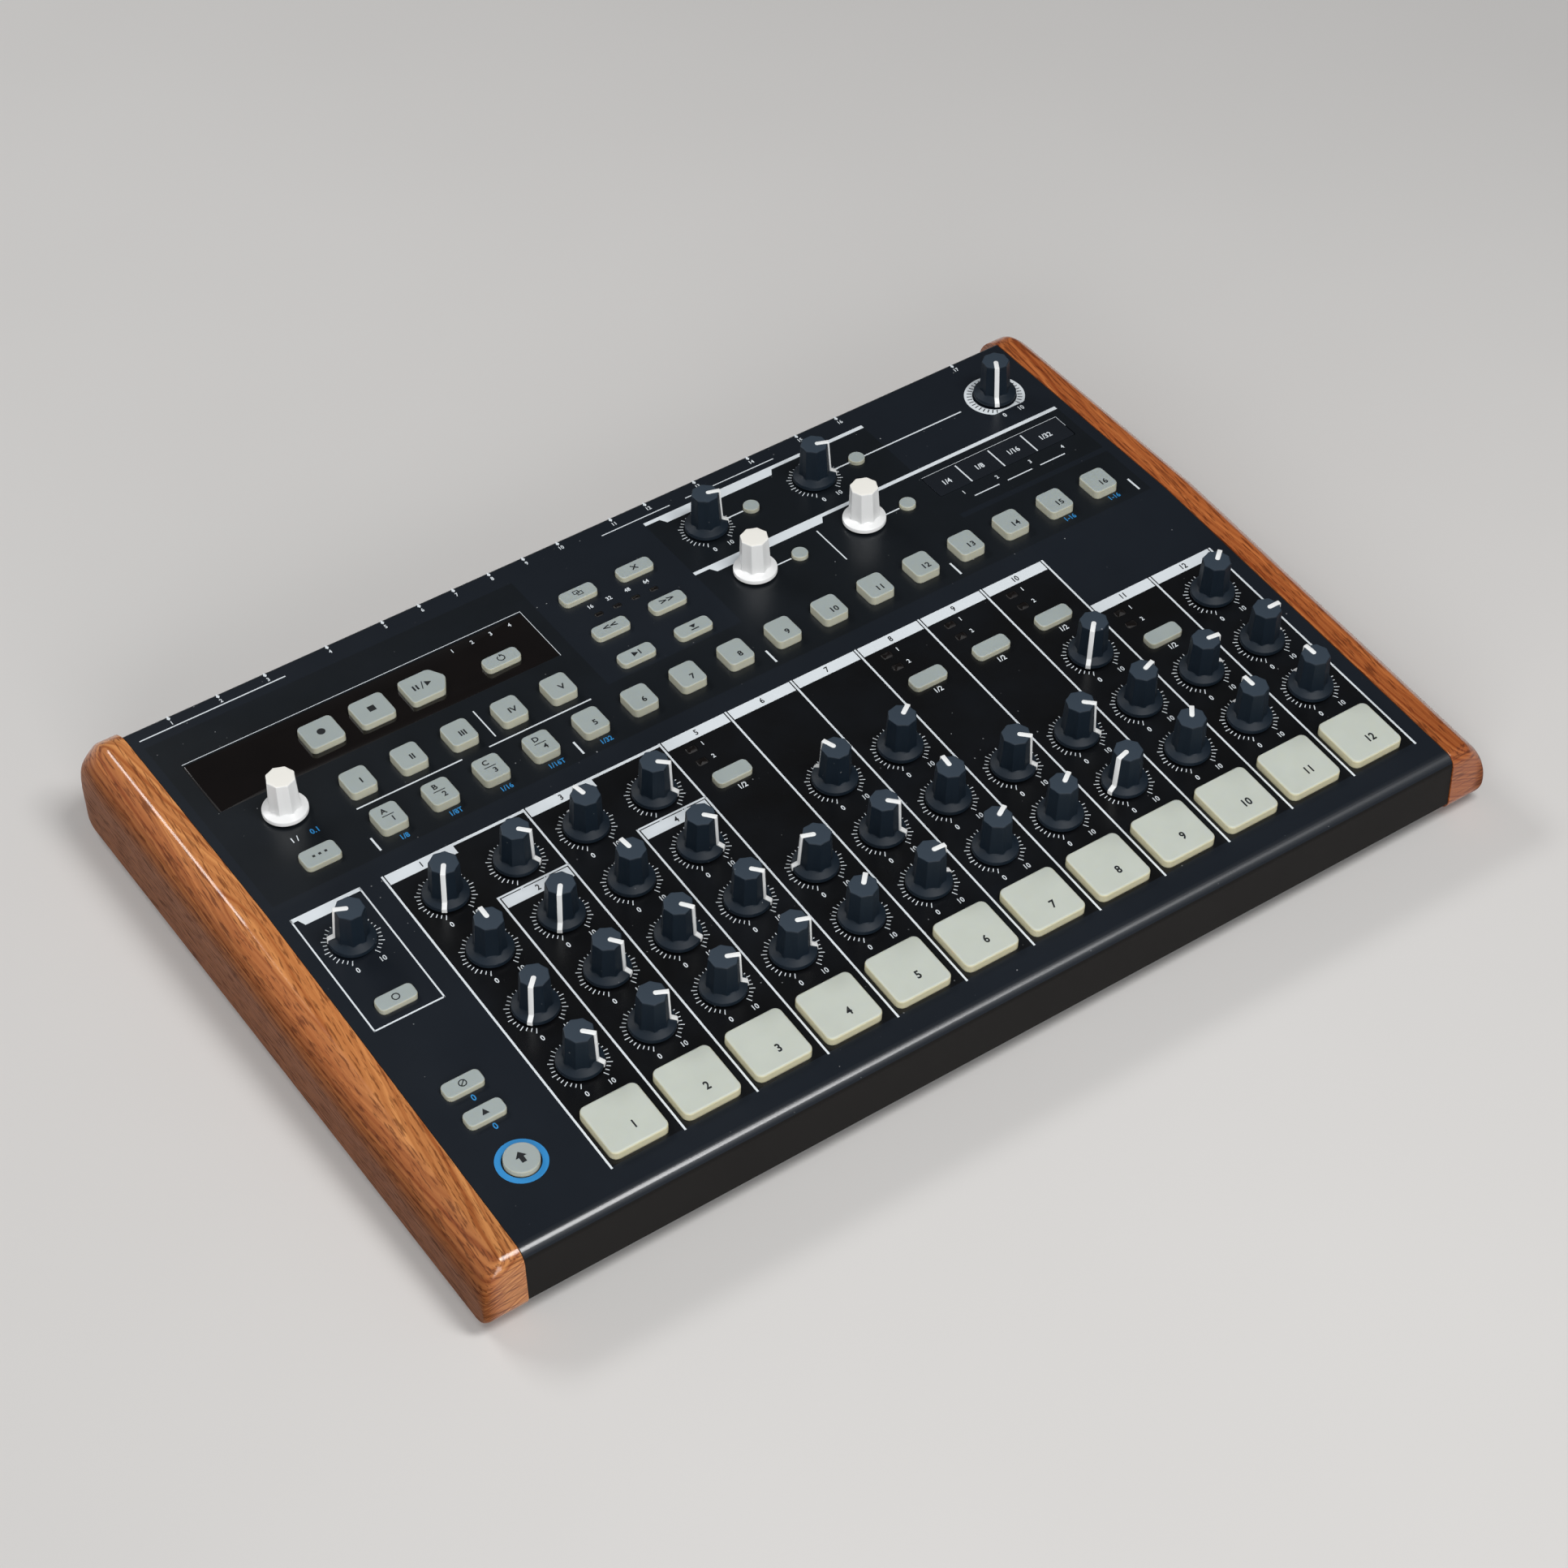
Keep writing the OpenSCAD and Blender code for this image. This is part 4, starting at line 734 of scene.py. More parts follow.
def wood(colours):
    """Banded wood with pores. Painted shade darkens the cheeks' low outsides and makes their sloping outsides
    redder; the wood is also painted darker towards the front and on the right cheek.
    """
    graph, shader = new_material("wood")
    grain = graph.group("wood_grain", {"Bands": 700.0}).outputs
    band = graph.ramp(grain["Bands"], 0.4, 0.62)
    shade = graph.mix(band, rgba(colours.wood_light), rgba(colours.wood_dark))
    shade = graph.mix(graph.ramp(grain["Cloud"], 0.35, 0.7, 0.0, 0.3), shade, rgba(linear("b86c38")))
    shade = graph.mix(graph.math("MULTIPLY", grain["Pores"], 0.7), shade, rgba(linear("6a3416")))
    out = graph.math("ABSOLUTE", graph.at(0))
    # Painted shade: the low outer band of each cheek is painted darker; the wood also gets darker towards the
    # front
    shade_and_front_tone = graph.ramp(out, 0.2395, 0.2452, 1.0, 0.45)
    shade_and_front_tone = graph.math("MULTIPLY", shade_and_front_tone, graph.ramp(graph.at(1), -0.15, -0.03, 0.8, 1.0))
    # Painted shade: the sloping outside below the ridge is painted redder and darker
    outer = graph.mix(graph.ramp(out, 0.235, 0.2395), (1.0, 1.0, 1.0, 1), (0.8, 0.68, 0.62, 1))
    # The right cheek is painted darker and redder than the left
    shade_and_cheek_tone = graph.mix(graph.math("GREATER_THAN", graph.at(0), 0.0), outer, (0.74, 0.54, 0.44, 1))
    shade_and_cheek_tone = graph.mix(1.0, shade_and_cheek_tone, shade_and_front_tone, "MULTIPLY")
    graph.bump(shader, grain["Pores"], 0.12, 0.0002)
    graph.set(shader, {
        "Base Color": graph.mix(1.0, shade, shade_and_cheek_tone, "MULTIPLY"),
        "Roughness": graph.ramp(grain["Pores"], 0.0, 1.0, 0.36, 0.5), "Specular IOR Level": 0.06,
        "Coat Weight": graph.ramp(out, 0.2385, 0.243, 1.0, 0.0), "Coat Roughness": 0.17,
    })


def silicone(name, top, side, roughness):
    """Milky rubber; its upright sides are painted a warmer, lighter tone than its top, as painted light."""
    graph, shader = new_material(name)
    cloud = graph.noise(graph.place(), 90.0)
    shade = graph.mix(cloud, rgba(top, 0.95), rgba(top, 1.05))
    # Painted light: the upright sides take the side tone, warmer and lighter than the top
    shade = graph.mix(graph.ramp(graph.facing(2), 0.9, 0.35), shade, rgba(linear(side)))
    graph.set(shader, {
        "Base Color": shade, "Roughness": coat(graph, shader, 3200.0, 0.06, 0.1, roughness),
        "Subsurface Weight": 0.25, "Subsurface Radius": (1.0, 0.85, 0.5), "Subsurface Scale": 0.0015,
    })


def circuit():
    """Green solder mask with pale tracks."""
    graph, shader = new_material("circuit", 0.35)
    values = {"Vector": graph.place((1, 1, 0)), "Scale": 260.0}
    cells = graph.add("ShaderNodeTexVoronoi", values, distance="CHEBYCHEV")
    track = graph.ramp(cells.outputs["Distance"], 0.4, 0.48)
    graph.set(shader, {"Base Color": graph.mix(track, rgba(linear("1d4a2c")), rgba(linear("3c7a4c")))})
    graph.bump(shader, track, 0.2, 0.0001)


def build_materials():
    """Every finish, by name."""
    colours = bpy.context.scene.drum_finishes
    case_paint(colours, Layout())
    wood(colours)
    for name, (tone, *values, further) in PLAIN.items():
        base = getattr(colours, tone) if hasattr(colours, tone) else linear(tone)
        grained(name, base, *values, **further)
    # The second colour of each silicone is painted light for its upright sides
    silicone("pad_silicone", colours.pad, "dcd6b4", 0.44)
    silicone("key_silicone", colours.key, "c9c8b4", 0.46)
    circuit()


def dress_node(node, finish):
    """Gives a CAD node that stays in view its finish."""
    target = frame["nodes"][node]
    target.data.materials.clear()
    target.data.materials.append(finish_of(finish))


# ---- Operators ----------------------------------------------------------------


class DRUM_OT_stage(bpy.types.Operator):
    """Sets up the pale floor, soft lamps and the camera"""

    bl_idname = "drum.stage"
    bl_label = "Stage"

    FLOOR = 6.0
    LENS_MM, SENSOR_MM = 86.01, 36.0
    PLACE = (-0.610462, -0.947449, 1.122985)
    RIGHT = (0.82710543, -0.56158199, -0.02285352)
    DOWN = (-0.4071621, -0.57065242, -0.71314434)
    DARK_SIDE = (0.387, 0.599, 0.701)
    # Name, place, aim, size in metres and power in watts
    LAMPS = (
        ("key_box", (0.28, -0.67, 1.56), (-0.1, -0.1, 0.03), (0.36, 0.8), 14.5),
        ("rear_bank", (-0.6, 1.38, 1.42), (0, 0, 0.03), (0.9, 0.36), 12.0),
        ("front_fill", (-1.0, -1.5, 0.7), (0, 0, 0.03), (1.4, 0.7), 15.0),
    )

    def show(self, name, data):
        """An object in the scene that carries the data."""
        made = bpy.data.objects.new(name, data)
        bpy.context.scene.collection.objects.link(made)
        return made

    def execute(self, context):
        scene = context.scene
        scene.view_settings.view_transform = "Standard"
        bm = bmesh.new()
        bmesh.ops.create_grid(bm, x_segments=1, y_segments=1, size=self.FLOOR)
        mesh = bpy.data.meshes.new("floor")
        bm.to_mesh(mesh)
        bm.free()
        graph, shader = new_material("floor_paper", 0.9)
        cloud = graph.noise(graph.place(), 3.0, 3.0)
        graph.set(shader, {"Base Color": graph.mix(cloud, (0.66, 0.64, 0.62, 1), (0.72, 0.7, 0.68, 1))})
        mesh.materials.append(finish_of("floor_paper"))
        floor = self.show("floor", mesh)

        camera = bpy.data.cameras.new("camera")
        camera.lens, camera.sensor_width = self.LENS_MM, self.SENSOR_MM
        camera.clip_start, camera.clip_end = 0.01, 50
        scene.camera = self.show("camera", camera)
        right, down = Vector(self.RIGHT), Vector(self.DOWN)
        columns = (right, -down, -right.cross(down), Vector(self.PLACE))
        scene.camera.matrix_world = Matrix([[c[i] for c in columns] for i in range(3)] + [[0, 0, 0, 1]])

        scene.world = bpy.data.worlds.new("soft_room")
        scene.world.use_nodes = True
        graph = Graph(scene.world.node_tree)
        direction = graph.add("ShaderNodeTexCoord").outputs["Generated"]
        values = {0: direction, 1: self.DARK_SIDE}
        facing = graph.add("ShaderNodeVectorMath", values, operation="DOT_PRODUCT").outputs["Value"]
        strength = graph.ramp(facing, 0.3, 0.85, 0.3, 0.07)
        background = scene.world.node_tree.nodes["Background"]
        graph.set(background, {"Color": (0.92, 0.96, 1.0, 1), "Strength": strength})
        for name, at, aim, size, power in self.LAMPS:
            light = bpy.data.lights.new(name, "AREA")
            light.shape = "RECTANGLE"
            light.size, light.size_y = size
            light.energy = power
            held = self.show(name, light)
            held.location = at
            held.rotation_euler = (Vector(aim) - Vector(at)).to_track_quat("-Z", "Y").to_euler()
        return {"FINISHED"}


class DRUM_OT_case(bpy.types.Operator):
    """Dresses the bent top panel, the bottom cover, the feet and the screws"""

    bl_idname = "drum.case"
    bl_label = "Case"

    # Share of the normal from which a face counts as one of the front face
    FORWARD = -0.8

    def execute(self, context):
        bm = merged_copy("top_panel")
        bm.normal_update()
        for face in bm.faces:
            if face.normal.y < self.FORWARD:
                face.material_index = 1
        finishes = ("case_paint", "case_face")
        make_piece("case_top", bm, finishes, "case", ("top_panel",), 25, True)
        dress_copy("case_floor", "bottom_cover", "cover_paint", "case", 25)
        dress_copy("feet", "rubber_feet", "rubber", "case", 35, False)
        dress_copy("case_screws", "screws", "dark_steel", "case", 35, False)
        dress_node("circuit_boards", "circuit")
        dress_node("pots_and_switches", "component")
        return {"FINISHED"}


class DRUM_OT_cheeks(bpy.types.Operator):
    """Builds the two wooden cheeks with their rounded outsides"""

    bl_idname = "drum.cheeks"
    bl_label = "Cheeks"

    # Radii of the side view's corners: front foot, rear foot, rear top, crease and front top
    RADII = (7.0, 2.0, 19.0, 40.0, 6.5)
    CORNER_STEPS = 10
    # The outside starts to fall at this slope, after a ridge rounded by this radius
    FROM_ANGLE = math.radians(35)
    RIDGE_R = 3.4
    RIDGE_STEPS, SIDE_STEPS = 5, 14
    INNER_EDGE = 0.35

    def corners(self, lay):
        front, rear = lay.front_face_y - lay.cheek_proud, lay.rear_face_y + lay.cheek_tail
        rear_z = lay.rear_top_z + lay.cheek_proud + lay.cheek_tail * math.sin(lay.rear_slope)
        outline = (
            (front, lay.foot_drop), (rear, lay.foot_drop), (rear, rear_z),
            (lay.crease_y, lay.crease_z + lay.cheek_proud), (front, lay.front_top_z + lay.cheek_proud),
        )
        return [Vector((0, y, z)) for y, z in outline]

    def shifts(self, lay, turn):
        """How far out the side is, and how far each corner has moved, at this turn of the outside."""
        reach = (math.sin(turn) - math.sin(self.FROM_ANGLE)) / (1 - math.sin(self.FROM_ANGLE))
        x = lay.cheek_flat_w + (lay.cheek_w - lay.cheek_flat_w) * reach
        top = lay.cheek_fall * (math.cos(self.FROM_ANGLE) - math.cos(turn)) / math.cos(self.FROM_ANGLE)
        away = min(max(x - (lay.cheek_w - lay.cheek_edge_r), 0) / lay.cheek_edge_r, 1)
        round_in = 1 - math.sqrt(1 - away * away)
        low, rear = lay.cheek_edge_r / 2 * round_in, lay.cheek_end_l * round_in
        moves = ((low / 2, low), (-rear, low), (-rear, -top), (0, -top), (low / 2, -top))
        return x, [Vector((0, y, z)) for y, z in moves]

    def plan(self, lay):
        """Distances out and moves of the corners, section by section."""
        still = [Vector()] * len(self.RADII)
        sections = [(lay.cheek_flat_w - self.RIDGE_R * math.tan(self.FROM_ANGLE / 2), still)]
        for i in range(1, self.RIDGE_STEPS + 1):
            turn = self.FROM_ANGLE * i / self.RIDGE_STEPS
            drop = Vector((0, 0, -self.RIDGE_R * (1 - math.cos(turn))))
            sections.append((sections[0][0] + self.RIDGE_R * math.sin(turn), still[:2] + [drop] * 3))
        for i in range(1, self.SIDE_STEPS + 1):
            turn = self.FROM_ANGLE + (math.pi / 2 - self.FROM_ANGLE) * i / self.SIDE_STEPS
            sections.append(self.shifts(lay, turn))
        return sections

    def build(self, lay, side):
        bm = bmesh.new()
        corners = self.corners(lay)
        count = len(corners)
        bm.faces.new([bm.verts.new(c) for c in corners])
        for i in range(count):
            before, after = corners[i - 1] - corners[i], corners[(i + 1) % count] - corners[i]
            offset = self.RADII[i] / math.tan(before.angle(after) / 2)
            nearest = min(bm.verts, key=lambda v: (v.co - corners[i]).length)
            bevel(bm, [nearest], offset, self.CORNER_STEPS, "VERTICES")
        face = bm.faces[:][0]
        x_now, moved = 0.0, [Vector()] * count
        for step, (x, shift) in enumerate(self.plan(lay)):
            made = bmesh.ops.extrude_face_region(bm, geom=[face])["geom"]
            if step:
                bmesh.ops.delete(bm, geom=[face], context="FACES_ONLY")
            face = [g for g in made if isinstance(g, bmesh.types.BMFace)][0]
            out = Vector((x_now, 0, 0))
            home = {}
            for vert in face.verts:
                spot = min(range(count), key=lambda k: (vert.co - moved[k] - out - corners[k]).length)
                home.setdefault(spot, []).append(vert)
            for spot, members in home.items():
                way = shift[spot] - moved[spot] + Vector((x - x_now, 0, 0))
                bmesh.ops.translate(bm, vec=way, verts=members)
            x_now, moved = x, shift
        inner = [e for e in bm.edges if all(abs(v.co.x) < 1e-5 for v in e.verts)]
        bevel(bm, inner, self.INNER_EDGE, 2)
        bmesh.ops.translate(bm, vec=(lay.panel_w / 2, 0, 0), verts=bm.verts)
        bmesh.ops.scale(bm, vec=(side, 1, 1), verts=bm.verts)
        bmesh.ops.recalc_face_normals(bm, faces=bm.faces)
        bmesh.ops.transform(bm, matrix=lay.world(), verts=bm.verts)
        return bm

    def execute(self, context):
        lay = Layout()
        for name, side in (("left_cheek", -1), ("right_cheek", 1)):
            make_piece(name + "_wood", self.build(lay, side), ("wood",), "case", (name,), 40, True)
        return {"FINISHED"}


class DRUM_OT_knobs(bpy.types.Operator):
    """Builds every knob: rim, wavy skirt, eight-sided body, pointer and shaft"""

    bl_idname = "drum.knobs"
    bl_label = "Knobs"

    SIDES, AROUND = 8, 48
    # Heights of the rim and of the slope above it, and where the slope starts inside the rim
    RIM_H, SLOPE_H = 2.1, 1.4
    LEDGE_IN, LEDGE_UP = 0.45, 0.08
    # Heights of the body's rings, and its rounded top edge: inwards and below the top
    RINGS = (3.4, 3.65, 3.9, 4.15, 4.4, 4.7, 5.1, 6.2, 9.5, 13.5, 17.5)
    LIP = ((0.0, 0.35), (0.1, 0.12), (0.3, 0.02), (0.6, 0.0))
    # The hollow in the top: its distance from the edge and its depth
    HOLLOW_IN, HOLLOW_D = 1.2, 0.06
    # Where the pointer starts, how far it stands out of the knob and goes into it, and its edge
    START, PROUD, SUNK, POINTER_EDGE = 0.4, 0.3, 0.5, 0.18
    SHAFT_FOOT, SHAFT_TOP, SHAFT_SIDES = -9.4, 1.2, 24

    def body_radius(self, lay, z, angle, foot_z):
        """Radius of the eight-sided body at a height and an angle, its facets slightly hollow."""
        share = (z - foot_z) / (lay.knob_h - foot_z)
        corner = lay.body_foot_r + (lay.body_top_r - lay.body_foot_r) * max(share, 0)
        wedge = 2 * math.pi / self.SIDES
        off = wedge / 2 - abs((angle + wedge / 2) % wedge - wedge / 2)
        flat = corner * math.cos(wedge / 2) / math.cos(off)
        hollow = lay.facet_scoop * (1 - 0.6 * share) * math.cos(off / (wedge / 2) * math.pi / 2)
        return min(flat, corner * 0.985) - hollow

    def build(self, lay, with_pointer):
        """The knob at its own origin, corner and pointer towards +Y, in millimetres."""
        low, top, rim_top = lay.skirt_gap, lay.knob_h, lay.skirt_gap + self.RIM_H
        slope_top, slope_r = rim_top + self.SLOPE_H, lay.body_foot_r - 0.6
        ledge_r, ledge_z = lay.skirt_r - self.LEDGE_IN, rim_top + self.LEDGE_UP
        bm = bmesh.new()
        profile = [
            (lay.shaft_r + 0.1, low + 2.0), (lay.shaft_r + 0.1, low), (lay.skirt_r - 0.3, low),
            (lay.skirt_r, low + 0.3), (lay.skirt_r, rim_top - 0.35), (lay.skirt_r - 0.12, rim_top - 0.1),
            (ledge_r, ledge_z),
        ]
        profile += [(lay.body_foot_r, z) for z in (*self.RINGS, top - 0.7)]
        profile += [(lay.body_top_r - inwards, top - below) for inwards, below in self.LIP]
        revolve(bm, profile, self.AROUND)
        for vert in bm.verts:
            z = vert.co.z
            if z < self.RINGS[0] - 1e-4:
                continue
            angle = math.atan2(vert.co.x, vert.co.y)
            r = self.body_radius(lay, z, angle, rim_top)
            if z > top - 0.5:
                r -= min(self.LIP, key=lambda item: abs(top - item[1] - z))[0]
            if z < slope_top + 0.01:
                r = max(r, ledge_r + (slope_r - ledge_r) * (z - ledge_z) / (slope_top - ledge_z))
            vert.co.x, vert.co.y = r * math.sin(angle), r * math.cos(angle)
        rim = [e for e in bm.edges if e.is_boundary and e.verts[0].co.z > top - 0.01]
        cap = bmesh.ops.contextual_create(bm, geom=rim)["faces"]
        bmesh.ops.inset_region(bm, faces=cap, thickness=self.HOLLOW_IN, depth=-self.HOLLOW_D)
        bmesh.ops.contextual_create(bm, geom=[e for e in bm.edges if e.is_boundary])
        bmesh.ops.recalc_face_normals(bm, faces=bm.faces)
        if not with_pointer:
            for face in bm.faces:
                face.material_index = int(face.calc_center_median().z > top - 0.15)
        shaft = cylinder(bm, Matrix(), lay.shaft_r, self.SHAFT_FOOT, self.SHAFT_TOP, self.SHAFT_SIDES)
        for face in {f for v in shaft for f in v.link_faces}:
            face.material_index = 2
        if with_pointer:
            self.add_pointer(bm, lay, rim_top, slope_top)
        return bm

    def add_pointer(self, bm, lay, rim_top, foot):
        """A white blade along the top, down the corner and over the skirt."""
        proud, sunk, top, start = self.PROUD, self.SUNK, lay.knob_h, self.START
        path = [
            (start, top + proud), (lay.body_top_r + proud, top + proud),
            (lay.body_foot_r + proud, foot + 0.15), (lay.skirt_r + proud, rim_top + 0.15),
            (lay.skirt_r + proud, lay.skirt_gap + 0.3), (lay.skirt_r - sunk, lay.skirt_gap + 0.3),
            (lay.skirt_r - sunk, rim_top - 0.4), (lay.body_foot_r - sunk, foot - 0.4),
            (lay.body_top_r - sunk, top - sunk), (start, top - sunk),
        ]
        part = bmesh.new()
        face = part.faces.new([part.verts.new((-lay.pointer_w / 2, y, z)) for y, z in path])
        made = bmesh.ops.extrude_face_region(part, geom=[face])["geom"]
        moved = [g for g in made if isinstance(g, bmesh.types.BMVert)]
        bmesh.ops.translate(part, vec=(lay.pointer_w, 0, 0), verts=moved)
        bmesh.ops.recalc_face_normals(part, faces=part.faces)
        tip = [
            e for e in part.edges
            if all(abs(v.co.y - start) < 1e-4 for v in e.verts)
            and abs(e.verts[0].co.z - e.verts[1].co.z) > 0.1
        ]
        bevel(part, tip, lay.pointer_w * 0.45, 3)
        sharp = [
            e for e in part.edges
            if e.is_manifold and e.calc_face_angle() > math.radians(50) and all(v.co.z > 1.5 for v in e.verts)
        ]
        bevel(part, sharp, self.POINTER_EDGE, 2, clamp=True)
        for face in part.faces:
            face.material_index = 3
        absorb(bm, part)

    def execute(self, context):
        lay = Layout()
        looks = {
            True: ("knob_plastic", "knob_plastic", "steel", "pointer_plastic"),
            False: ("encoder_plastic", "encoder_top", "steel", "pointer_plastic"),
        }
        store = {with_pointer: self.build(lay, with_pointer) for with_pointer in looks}
        for name, plane, place, angle, with_pointer in lay.knobs():
            bm = store[with_pointer].copy()
            matrix = plane(*place) @ Matrix.Rotation(math.radians(-angle), 4, "Z")
            bmesh.ops.transform(bm, matrix=matrix, verts=bm.verts)
            finishes = looks[with_pointer]
            make_piece(name + "_cap", bm, finishes, name, (name,), 32)
        for bm in store.values():
            bm.free()
        return {"FINISHED"}


class DRUM_OT_pads(bpy.types.Operator):
    """Builds the twelve silicone pads with their numbers"""

    bl_idname = "drum.pads"
    bl_label = "Pads"

    # Middle of a pad from its column line and from the panel's front, and its number's place
    AT, NUMBER_AT = (15.15, 15.5), (16.75, 10.7)
    CORNER, EDGE, FOOT, NUMBER_D = 3.0, 0.9, -2.2, 3.8

    def execute(self, context):
        lay = Layout()
        bm, ink = bmesh.new(), bmesh.new()
        square = oblong(lay.pad_side, lay.pad_side)
        for i in range(lay.columns):
            line = i * lay.col_pitch
            place = lay.front(line + self.AT[0], self.AT[1])
            rounded_block(bm, place, square, self.CORNER, self.FOOT, lay.pad_h, self.EDGE, 5, 4)
            above = lay.front(line + self.NUMBER_AT[0], self.NUMBER_AT[1], lay.pad_h - 0.01)
            print_text(ink, above, str(i + 1), self.NUMBER_D, bold=0.04)
        finish, node = "pad_silicone", "drum_pads"
        make_piece("pads_silicone", bm, (finish,), node, (node,), 40, True)
        make_piece("pad_numbers", ink, ("black_ink",), node)
        return {"FINISHED"}


class DRUM_OT_keys(bpy.types.Operator):
    """Builds the step, mode, menu, transport, round and side keys with their legends"""

    bl_idname = "drum.keys"
    bl_label = "Keys"

    # Width, depth and height of each kind of key besides the step keys; the last two are round
    KINDS = {
        "oblong": (17.0, 7.7, 2.5), "tap": (16.3, 10.2, 2.5), "transport": (16.2, 15.4, 3.0),
        "play": (16.2, 15.4, 3.0), "shift": (14.4, 14.4, 2.5), "round": (7.4, 7.4, 1.8),
    }
    FOOT, CORNER, EDGE = -2.0, 2.3, 0.6
    PLAY_CORNER, PLAY_SHOULDER, PLAY_TIP = 1.7, -1.0, 3.5
    ROUND_EDGE, ROUND_SIDES = 0.55, 40
    SHIFT_SIGN = 1.25
    STEPS, LETTERS = 16, "ABCD"
    # First transport key, from the first step key
    TRANSPORT_IN = 1.9

    def block(self, bm, matrix, kind, size):
        """One key on the plane and at the place that the matrix sets."""
        w, d, h = size
        if kind in ("shift", "round"):
            part = bmesh.new()
            cylinder(part, Matrix(), w / 2, self.FOOT, h, self.ROUND_SIDES)
            rim = [e for e in part.edges if min(v.co.z for v in e.verts) > h - 1e-4]
            bevel(part, rim, self.ROUND_EDGE, 3)
            bmesh.ops.transform(part, matrix=matrix, verts=part.verts)
            absorb(bm, part)
            return
        points, corner = oblong(w, d), self.CORNER
        if kind == "play":
            x, y, corner = w / 2, d / 2, self.PLAY_CORNER
            shoulder, tip = x + self.PLAY_SHOULDER, x + self.PLAY_TIP
            points = [(-x, -y), (shoulder, -y), (tip, 0), (shoulder, y), (-x, y)]
        rounded_block(bm, matrix, points, corner, self.FOOT, h, self.EDGE, 4, 3)

    def group(self, lay, node, marks, plane, items, sign_size=1.0):
        """The keys of one node and the prints on them; a mark is a sign's name or a list of texts."""
        bm, ink = bmesh.new(), bmesh.new()
        for place, kind, mark in items:
            size = (lay.step_w, lay.step_d, lay.step_h) if kind == "step" else self.KINDS[kind]
            self.block(bm, plane(*place), kind, size)
            top = plane(*place, size[2] + 0.01)
            if isinstance(mark, str):
                sign(ink, top, mark, self.SHIFT_SIGN if kind == "shift" else sign_size)
            for text, height, at, narrow in mark if isinstance(mark, list) else ():
                print_text(ink, top, text, height, at, narrow)
            if kind == "step" and len(mark) > 1:
                flat_bar(ink, top, -2.9, -0.12, 2.5, 0.28)
        finishes = ("key_silicone",)
        make_piece(node + "_silicone", bm, finishes, node, (node,), 40, True)
        make_piece(marks, ink, ("black_ink",), node)

    def execute(self, context):
        lay = Layout()
        items = []
        for i in range(self.STEPS):
            texts = [(str(i + 1), 3.0, (0.9, -2.6), 1.0)]
            if i < len(self.LETTERS):
                texts = [(str(i + 1), 2.8, (0.9, -2.7), 1.0), (self.LETTERS[i], 2.8, (-0.9, 2.8), 1.0)]
            items.append(((STEP_X0 + i * STEP_PITCH, STEP_Y), "step", texts))
        self.group(lay, "step_keys", "step_numbers", lay.rear, items)

        items = []
        for i, text in enumerate(("I", "II", "III", "IV", "V")):
            items.append(((STEP_X0 + i * STEP_PITCH, MODE_Y), "step", [(text, 3.0, (0.9, -1.6), 1.1)]))
        back, ahead = ([(text, 3.1, (0, 0.3), 1.4)] for text in ("<<", ">>"))
        marks = iter(("copy", back, "last", "cross", ahead, "down"))
        items += [((x, y), "oblong", next(marks)) for x in MENU_X for y in MENU_Y]
        transport_x = STEP_X0 + self.TRANSPORT_IN
        items += [
            ((-15, 16.2), "tap", "taps"), ((104.4, 73.1), "oblong", "sync"),
            ((lay.filter_x + 23.7, 95.0), "round", None), ((lay.shaper_x + 22.9, 95.0), "round", None),
            ((lay.effect_x + 22, 56.4), "round", None), ((lay.chance_x + 21.9, 56.4), "round", None),
            ((transport_x, TRANSPORT_Y), "transport", "dot"),
            ((transport_x + STEP_PITCH, TRANSPORT_Y), "transport", "square"),
            ((transport_x + 2 * STEP_PITCH, TRANSPORT_Y), "play", "play"),
        ]
        self.group(lay, "menu_keys", "menu_marks", lay.rear, items, 1.15)

        items = [
            ((SIDE_X - 0.8, 114.2), "oblong", "ring"), ((SIDE_X - 0.8, 63.8), "oblong", "slash"),
            ((SIDE_X - 0.8, 47.6), "oblong", "solo"), (SHIFT_AT, "shift", "up"),
            ((10 * lay.col_pitch + 15.7, 106.8), "oblong", None),
        ]
        items += [((c * lay.col_pitch + 15.9, 140.9), "oblong", None) for c in PAIR_COLUMNS]
        self.group(lay, "front_keys", "front_marks", lay.front, items, 1.1)
        return {"FINISHED"}


class DRUM_OT_windows(bpy.types.Operator):
    """Builds the display window, the small lights and the touch strip"""

    bl_idname = "drum.windows"
    bl_label = "Windows"

    STRIP_S, STRIP_W, STRIP_D = 59.8, 74.6, 14.5
    STRIP_CORNER, STRIP_EDGE, STRIP_FOOT = 1.0, 0.3, -1.4

    def execute(self, context):
        lay = Layout()
        dress_copy("display_window", "display_lenses", "window_plastic", "case")
        bm = bmesh.new()
        place, outline = lay.rear(lay.strip_x, self.STRIP_S), oblong(self.STRIP_W, self.STRIP_D)
        rounded_block(bm, place, outline, self.STRIP_CORNER, self.STRIP_FOOT, 0.0, self.STRIP_EDGE, 3, 2)
        finishes = ("strip_plastic",)
        make_piece("touch_strip_pane", bm, finishes, "case", ("touch_strip",), 30, True)
        return {"FINISHED"}


